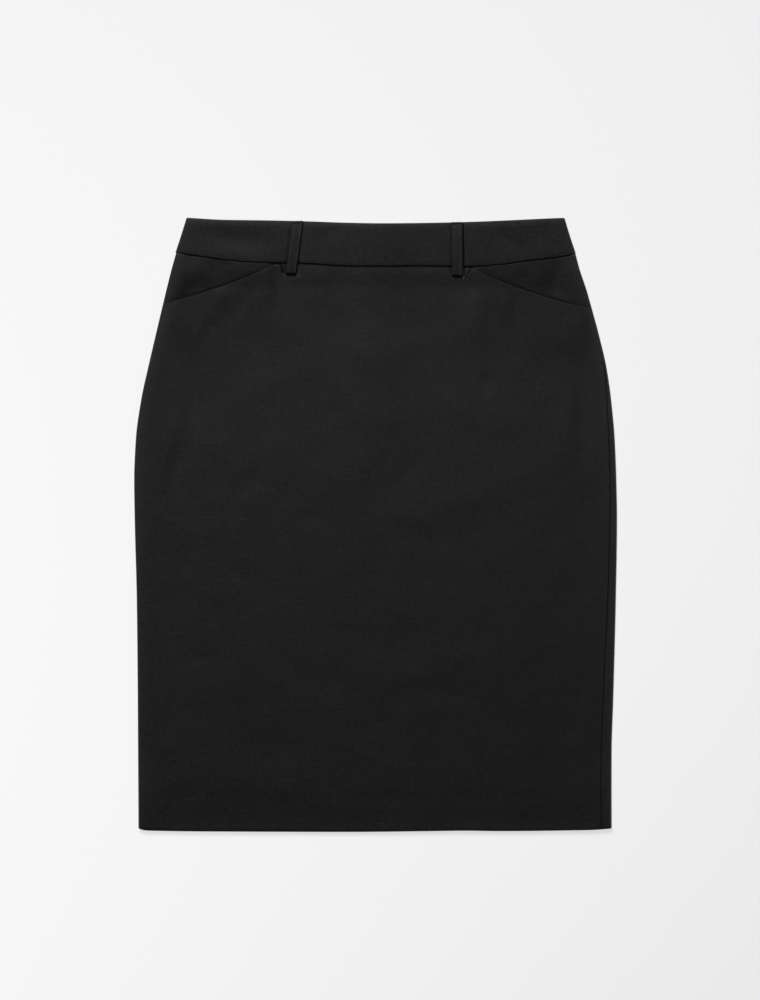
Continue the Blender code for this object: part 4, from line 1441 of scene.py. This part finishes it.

# %% [markdown]
# ## Bar tacks
#
# Where a pocket mouth ends, the strain is taken by a bar tack: a dense zigzag of thread over a few
# long stitches. It is short and thin, and the thread shines more than the cloth does. Its colour is
# also painted lighter than the black thread, a painted highlight, so it shows as a light scratch
# beside each belt loop. Each stitch is a small arch from one side of the bar to the other. Where the
# zigzag turns back, its turns heap up, and a thicker thread along each side stands for them.

# %% Bar tacks
TACK_WIDTH = 1.2
TACK_PITCH = 0.42
TACK_THREAD = 0.15
TACK_ARCH = 0.12        # height of a stitch's arch
TACK_SUNK = 0.12        # its ends go in this deep
RAIL_PLACE = 1.45       # distance of the heaped turns from the line of the tack
RAIL_THREAD = 0.24
RAIL_HIGH = 0.05        # they lie this far above the cloth
RAIL_WAVE = 0.06        # and waver by this much in each turn
RAIL_POINTS = 40
STITCH_SHARES = np.linspace(-1.0, 1.0, 9)   # points of one stitch, from one end to the other
STITCH_RISE = np.sqrt(np.clip(1 - STITCH_SHARES ** 2, 0.0, 1.0))
UPRIGHT = np.array([0.0, 0.0, 1.0])


def front_height(x, down):
    """Height of the front's outer face."""
    return skirt.upper(x, down) + front_relief(x, down) + front_edges(x, down)


def over_tack(tack, along, offset, high):
    """Points at a height over the front: start + along * way + offset * aside, where way runs down
    the bar and aside across it."""
    way = np.array([tack.to_across - tack.across, tack.to_down - tack.down])
    way = way / np.linalg.norm(way)
    x = tack.across + way[0] * along + way[1] * offset
    down = tack.down + way[1] * along - way[0] * offset
    return np.stack([x, LENGTH / 2 - down, front_height(x, down) + high], axis=-1)


def bar_tack(tack):
    """Arches across the bar at even steps, each slanting by half a step, and a rail of heaped turns
    along each side."""
    length = math.hypot(tack.to_across - tack.across, tack.to_down - tack.down)
    along = np.arange(0.0, length, TACK_PITCH)[:, None] + TACK_PITCH / 2 * STITCH_SHARES
    offset = TACK_WIDTH / 2 * STITCH_SHARES + 0 * along
    stitches = over_tack(tack, along, offset, TACK_ARCH * STITCH_RISE - TACK_SUNK)
    side = np.array([[-1.0], [1.0]])
    along = np.linspace(0.0, length, RAIL_POINTS) + 0 * side
    offset = RAIL_PLACE * side + RAIL_WAVE * np.sin(2 * math.pi * along / TACK_PITCH)
    rails = over_tack(tack, along, offset, RAIL_HIGH)
    join_parts(tack.name, [thread_mesh(stitches, TACK_THREAD, UPRIGHT),
                           thread_mesh(rails, RAIL_THREAD, UPRIGHT)])


for tack in TACKS:
    bar_tack(tack)

# %% Stitches at the tops of the belt loops
LOOP_STITCHES = 5
LOOP_STITCH_IN = 1.4    # distance of the outer ones from the loop's edges
LOOP_STITCH_LONG = 0.75     # half the length of a stitch
LOOP_STITCH_UP = 1.1    # part of their distance from the end lies in the turn over the top
LOOP_STITCH_RISE = 0.3
LOOP_STITCH_THREAD = 0.14


def loop_stitches(loop):
    """A row of short stitches across the top of a belt loop, each an arch whose ends go in."""
    middles = np.linspace(-1.0, 1.0, LOOP_STITCHES)[:, None] * (LOOP_WIDTH / 2 - LOOP_STITCH_IN)
    x = loop.top + middles + LOOP_STITCH_LONG * STITCH_SHARES
    row = float(band_top(loop.top)) + LOOP_STITCH
    top = float(band.upper(loop.top, row)) + GAP + LOOP_CLOTH
    height = top - LOOP_SINK - TACK_SUNK + LOOP_STITCH_RISE * STITCH_RISE + 0 * x
    paths = np.stack([x, LENGTH / 2 - (row - LOOP_STITCH_UP) + 0 * x, height], axis=-1)
    join_parts(loop.name + "_stitches", [thread_mesh(paths, LOOP_STITCH_THREAD, UPRIGHT)])


for loop in LOOPS:
    loop_stitches(loop)

# %% [markdown]
# ## Shader maths as expressions
#
# A finish is a small network of nodes. Written node by node it is hard to read, so the class below
# wraps a node's output and turns + - * into Math nodes. One method adds any other node.

# %% Wires
class Wire:
    """A number that varies over the surface."""

    def __init__(self, finish, socket):
        self.finish, self.socket = finish, socket

    def maths(self, operation, first, second=0.0):
        return self.finish.add("ShaderNodeMath", {"operation": operation}, {0: first, 1: second})

    def __add__(self, other):
        return self.maths("ADD", self, other)

    __radd__ = __add__

    def __sub__(self, other):
        return self.maths("SUBTRACT", self, other)

    def __rsub__(self, other):
        return self.maths("SUBTRACT", other, self)

    def __mul__(self, other):
        return self.maths("MULTIPLY", self, other)

    __rmul__ = __mul__

    def sine(self):
        return self.maths("SINE", self)

    def at_least(self, least):
        return self.maths("MAXIMUM", self, least)


# %% A finish
class Finish:
    """A material with one Principled shader."""

    def __init__(self, name, colour, roughness, **constants):
        self.material = bpy.data.materials.new(name)
        self.material.use_nodes = True
        self.tree = self.material.node_tree
        self.shader = self.tree.nodes["Principled BSDF"]
        settings = {"Base Color": (*colour, 1.0), "Roughness": roughness}
        settings.update({key.replace("_", " "): value for key, value in constants.items()})
        for key, value in settings.items():
            self.shader.inputs[key].default_value = value

    def link(self, value, socket):
        """Links a wire to a socket, or sets the socket to a plain value."""
        if isinstance(value, Wire):
            self.tree.links.new(value.socket, socket)
        else:
            socket.default_value = value

    def add(self, kind, settings=None, inputs=None, output=0):
        """Adds a node: its settings first, then the values or links of its sockets."""
        node = self.tree.nodes.new(kind)
        for key, value in (settings or {}).items():
            setattr(node, key, value)
        for key, value in (inputs or {}).items():
            self.link(value, node.inputs[key])
        return Wire(self, node.outputs[output])

    def noise(self, vector, scale, detail=2.0, dimensions="2D"):
        """Soft random spots, with a scale in spots to the metre."""
        return self.add("ShaderNodeTexNoise", {"noise_dimensions": dimensions},
                        {"Vector": vector, "Scale": scale, "Detail": detail})

    def stretched(self, vector, x, y):
        """The same place with its axes scaled, for a pattern that is long one way."""
        return self.add("ShaderNodeVectorMath", {"operation": "MULTIPLY"},
                        {0: vector, 1: (x, y, 1.0)})

    def blend(self, factor, first, second):
        """A colour between two others, of which the first may be a wire."""
        if not isinstance(first, Wire):
            first = (*first, 1.0)
        return self.add("ShaderNodeMix", {"data_type": "RGBA"},
                        {0: factor, 6: first, 7: (*second, 1.0)}, output=2)

    def bump(self, height, distance):
        """Tilts the surface as if it rose by height times a distance in metres."""
        wire = self.add("ShaderNodeBump", inputs={"Height": height, "Distance": distance})
        self.link(wire, self.shader.inputs["Normal"])

    def colour(self, wire):
        """What the surface is coloured with."""
        self.link(wire, self.shader.inputs["Base Color"])


# %% [markdown]
# ## Charcoal suiting
#
# Fine wool suiting is woven from threads about half a millimetre apart. Close up each thread passes
# over and under its neighbours. From a step away only the unevenness of the threads is left: short
# streaks along both directions of the weave, and a faint mottle. An image of cloth would repeat and
# would have a size of its own, so the weave is two crossed sines and the streaks are noise stretched
# along the threads. The cloth is nearly black, and much of the light that it sends back is a broad
# soft sheen, which is what shows its creases. A painted sheen makes the folds and edges a little
# lighter in colour, and a painted shade makes the panels a little darker below the waist. The hip
# pieces get a darker grey that is painted shade, and so do the loops, whose tilted faces would
# otherwise catch more light than the band. The waistband has a slightly different grey of its own,
# and the loops, which are folded in three, also show a faint diagonal rib.

# %% The suiting
THREAD = 0.5            # millimetres from one thread to the next
RIB = 0.4               # turns of the diagonal rib for each turn of the weave
STREAK_SCALE = 900.0    # scales of noise, in spots to the metre
STREAK_LONG = 0.07      # one axis is scaled by this, which stretches spots into streaks
MOTTLE_SCALE = 230.0
CLOUD_SCALE = 17.0
CLOUD_DEEP = 0.5        # how far the wide clouds move the colour
WEAVE_HIGH, THREADS_HIGH, MOTTLE_HIGH = 0.5, 1.2, 0.8   # shares of each in the bump
# the lighter grey of the painted sheen: a painted highlight on folds and edges
PAINTED_SHEEN_GREY = (0.055, 0.055, 0.056)


def suiting(name, dark, light, roughness, shine, streak, mottled, twill=0.0, depth=0.00006,
            painted_shade_depth=0.0):
    """Plain weave: sin(pi u) sin(pi v), with u and v in threads. twill adds a diagonal rib. The
    colour runs from dark to light with the streaks, the mottle and a wide cloud, is darker by the
    painted shade depth where the painted shade layer is 1, and turns to a lighter grey, a painted
    highlight, where the painted sheen layer is high."""
    finish = Finish(name, dark, roughness, Specular_IOR_Level=shine)
    cloth = finish.add("ShaderNodeUVMap", {"uv_map": "cloth"})
    turns = math.pi / (THREAD * MM)
    u = finish.add("ShaderNodeSeparateXYZ", inputs={0: cloth}) * turns
    v = finish.add("ShaderNodeSeparateXYZ", inputs={0: cloth}, output=1) * turns
    weave = u.sine() * v.sine()
    rib = ((u + v) * RIB).sine()
    warp = finish.noise(finish.stretched(cloth, 1.0, STREAK_LONG), STREAK_SCALE)
    weft = finish.noise(finish.stretched(cloth, STREAK_LONG, 1.0), STREAK_SCALE)
    mottle = finish.noise(cloth, MOTTLE_SCALE, detail=3.0)
    cloud = finish.noise(cloth, CLOUD_SCALE, detail=3.0)
    worn = finish.add("ShaderNodeAttribute", {"attribute_name": "worn"}, output=2)
    pressed = finish.add("ShaderNodeAttribute", {"attribute_name": "pressed"}, output=2)
    threads = (warp - 0.5) * streak + (weft - 0.5) * streak
    # the last term is painted shade: it darkens the colour of the panels near the waist
    shade = threads + (mottle - 0.5) * mottled + (cloud - 0.5) * CLOUD_DEEP - pressed * painted_shade_depth
    # painted highlight: where the painted sheen layer is high the colour turns to a lighter grey
    finish.colour(finish.blend(worn, finish.blend(shade + 0.5, dark, light), PAINTED_SHEEN_GREY))
    woven = weave * WEAVE_HIGH + rib * twill
    finish.bump(woven + (warp + weft) * THREADS_HIGH + mottle * MOTTLE_HIGH, depth)
    return finish.material


def grey(value):
    """Charcoal: a neutral grey with a trace of blue."""
    return value, value, value * 1.015


# painted_shade_depth darkens the panels near the waist, a painted shade
panel_cloth = suiting("suiting", grey(0.0090), grey(0.0226), roughness=0.46, shine=0.70,
                      streak=0.45, mottled=1.5, painted_shade_depth=0.34)
# painted shade: the hip pieces get a darker grey than the panels
hip_cloth = suiting("suiting_across", grey(0.0064), grey(0.0160), roughness=0.42, shine=0.60,
                    streak=0.5, mottled=1.5)
band_cloth = suiting("suiting_interlined", grey(0.0072), grey(0.0188), roughness=0.44, shine=0.54,
                     streak=0.8, mottled=2.4)
# painted shade: the loops get a darker grey, which offsets the light their tilted faces catch
loop_cloth = suiting("suiting_folded", grey(0.0010), grey(0.0165), roughness=0.45, shine=0.44,
                     streak=2.6, mottled=3.6, twill=0.5, depth=0.00009)
print("cloths:", ", ".join(m.name for m in (panel_cloth, hip_cloth, band_cloth, loop_cloth)))

# %% [markdown]
# ## Tape, thread and lacquered metal
#
# The tape of a zip is woven in herringbone: ribs that slant one way, then the other. A PINGPONG node
# runs up and down across the tape, and a sine of that plus the place along it gives such ribs. The
# threads and the coils get fine fibres from noise in three dimensions. The slider's dark lacquer is
# scuffed, so the same noise makes it a little smoother in places.

# %% Tape, coil, thread and lacquered metal
RIB_TURN = 0.0015       # metres across the tape from one change of slant to the next
RIB_APART = 0.0009
SCUFF_SMOOTH = 0.2      # roughness of the lacquer where it is smoothest
SCUFF_ROUGHER = 0.25    # and how much rougher it gets


def tape_weave():
    """Herringbone: the sine of 2 pi (pingpong(across) + along) / apart."""
    finish = Finish("zip_tape_weave", (0.012, 0.012, 0.013), roughness=0.8)
    cloth = finish.add("ShaderNodeUVMap", {"uv_map": "cloth"})
    across = finish.add("ShaderNodeSeparateXYZ", inputs={0: cloth})
    along = finish.add("ShaderNodeSeparateXYZ", inputs={0: cloth}, output=1)
    zigzag = finish.add("ShaderNodeMath", {"operation": "PINGPONG"}, {0: across, 1: RIB_TURN})
    rib = ((zigzag + along) * (2 * math.pi / RIB_APART)).sine()
    finish.colour(finish.blend(rib * 0.5 + 0.5, (0.009, 0.009, 0.010), (0.017, 0.017, 0.018)))
    finish.bump(rib, distance=0.00008)
    return finish.material


def twisted_thread(name, dark, light, roughness):
    """Fine fibres across a thread, from noise on Object coordinates."""
    finish = Finish(name, dark, roughness, Specular_IOR_Level=0.5)
    place = finish.add("ShaderNodeTexCoord", output=3)
    fibre = finish.noise(place, scale=3500.0, dimensions="3D")
    finish.colour(finish.blend(fibre, dark, light))
    finish.bump(fibre, distance=0.00005)
    return finish.material


def lacquered_metal():
    """Dark lacquer with a few scuffs that are smoother than the rest."""
    finish = Finish("lacquered_metal", (0.09, 0.09, 0.095), roughness=0.32, Metallic=0.9)
    place = finish.add("ShaderNodeTexCoord", output=3)
    scuff = finish.noise(place, scale=900.0, detail=4.0, dimensions="3D")
    finish.link(scuff * SCUFF_ROUGHER + SCUFF_SMOOTH, finish.shader.inputs["Roughness"])
    finish.bump(scuff, distance=0.00003)
    return finish.material


# %% Make the small finishes
tape_cloth = tape_weave()
# painted highlight: the thread's colour is painted lighter than a black thread's, so the bar tacks
# show as light scratches
thread = twisted_thread("polyester_thread", (0.012, 0.012, 0.012), (0.045, 0.045, 0.046),
                        roughness=0.38)
nylon = twisted_thread("nylon_coil", (0.010, 0.010, 0.011), (0.020, 0.020, 0.021), roughness=0.3)
metal = lacquered_metal()
print("small finishes:", ", ".join(m.name for m in (tape_cloth, thread, nylon, metal)))

# %% Give every piece its finish
FINISHES = [
    (panel_cloth, "skirt_cloth", ["front", "back_left", "back_right"]),
    (hip_cloth, "skirt_cloth", ["hip_left", "hip_right"]),
    (band_cloth, "waistband_cloth", ["band_front", "band_back_left", "band_back_right"]),
    (loop_cloth, "loop_cloth", ["loop_left", "loop_right"]),
    (tape_cloth, "zip_tape", ["tape"]),
    (nylon, "zip_tape", ["zip_coils"]),
    (metal, "zip_metal", ["slider"]),
    (thread, "skirt_cloth", ["tack_left", "tack_right", "loop_left_stitches", "loop_right_stitches"]),
]
for material, slot, names in FINISHES:
    for name in names:
        piece = bpy.data.objects[name]
        piece.data.materials.append(material)
print("finishes:", len(FINISHES))

# %% [markdown]
# ## Floor, light and camera
#
# The skirt lies on a white surface and is seen from straight above. The surface glows like a light
# table, so that it is bright and even while the lamps are set for the dark cloth. The glow changes
# slowly from side to side and stays pale far out. A large soft lamp stands beyond the waist, a little
# to the left, so the slopes that face the waist are lighter and the belt loops and seams throw short
# shadows away from it. A weaker one stands low at the right and touches the edges, and the room fills
# in the rest.

# %% The white surface
FLOOR_SIZE = 6.0
FLOOR_DOWN = 0.0002     # the surface lies this far below the skirt
GLOW = 0.6755           # in the middle
GLOW_ACROSS = -0.098    # change for each metre to the right
GLOW_ALONG = -0.045     # and for each metre towards the waist
GLOW_TWIST = 0.08       # and for the product of both
GLOW_FALL = 0.10        # it falls by this with the square of the distance along
GLOW_LEAST = 0.56
bpy.ops.mesh.primitive_grid_add(x_subdivisions=4, y_subdivisions=4, size=FLOOR_SIZE,
                                location=(0.0, 0.0, -FLOOR_DOWN))
floor = bpy.context.object
floor.name = "floor"
white = Finish("white_surface", (0.86, 0.86, 0.86), roughness=0.9, Specular_IOR_Level=0.2,
               Emission_Strength=1.0)
place = white.add("ShaderNodeTexCoord", output=3)
white.bump(white.noise(place, scale=400.0, detail=3.0), distance=0.00005)
across = white.add("ShaderNodeSeparateXYZ", inputs={0: place})
along = white.add("ShaderNodeSeparateXYZ", inputs={0: place}, output=1)
slanted = across * (along * GLOW_TWIST + GLOW_ACROSS)
ramp = (slanted + along * GLOW_ALONG - along * along * GLOW_FALL + GLOW).at_least(GLOW_LEAST)
glow = white.add("ShaderNodeCombineColor", inputs={0: ramp, 1: ramp, 2: ramp})
white.link(glow, white.shader.inputs["Emission Color"])
floor.data.materials.append(white.material)
print(f"floor: {FLOOR_SIZE} m square")

# %% Light
ROOM_LIGHT = 0.03
Lamp = namedtuple("Lamp", "name place size power")
LAMPS = [                # places and sizes in metres, power in watts
    Lamp("key", (-0.80, 3.32, 3.9), 1.9, 78.0),
    Lamp("rim", (3.2, 0.6, 1.8), 1.2, 6.0),
]
for lamp in LAMPS:
    light = bpy.data.lights.new(lamp.name, "AREA")
    light.size = lamp.size
    light.energy = lamp.power
    stand = bpy.data.objects.new(lamp.name, light)
    stand.location = lamp.place
    stand.rotation_mode = "QUATERNION"
    stand.rotation_quaternion = Vector(lamp.place).to_track_quat("Z", "Y")
    bpy.context.scene.collection.objects.link(stand)

world = bpy.data.worlds.new("room")
world.use_nodes = True
background = world.node_tree.nodes["Background"]
background.inputs["Color"].default_value = (1.0, 1.0, 1.0, 1.0)
background.inputs["Strength"].default_value = ROOM_LIGHT
bpy.context.scene.world = world
bpy.context.scene.view_settings.view_transform = "Standard"
print("lamps:", ", ".join(f"{lamp.name} {lamp.power:.0f} W" for lamp in LAMPS))

# %% Camera
VIEW_HEIGHT = 1.0       # metres of the surface from the top to the bottom of the view
LENS = 100.0            # a long lens, in millimetres
SENSOR = 36.0
VIEW_MIDDLE = (0.0044, 0.02465)     # the point of the surface that it looks at
camera_data = bpy.data.cameras.new("camera")
camera_data.lens = LENS
camera_data.sensor_width = SENSOR
camera = bpy.data.objects.new("camera", camera_data)
camera.location = (*VIEW_MIDDLE, VIEW_HEIGHT * LENS / SENSOR)
bpy.context.scene.collection.objects.link(camera)
bpy.context.scene.camera = camera
print(f"camera {camera.location.z:.2f} m above the surface")
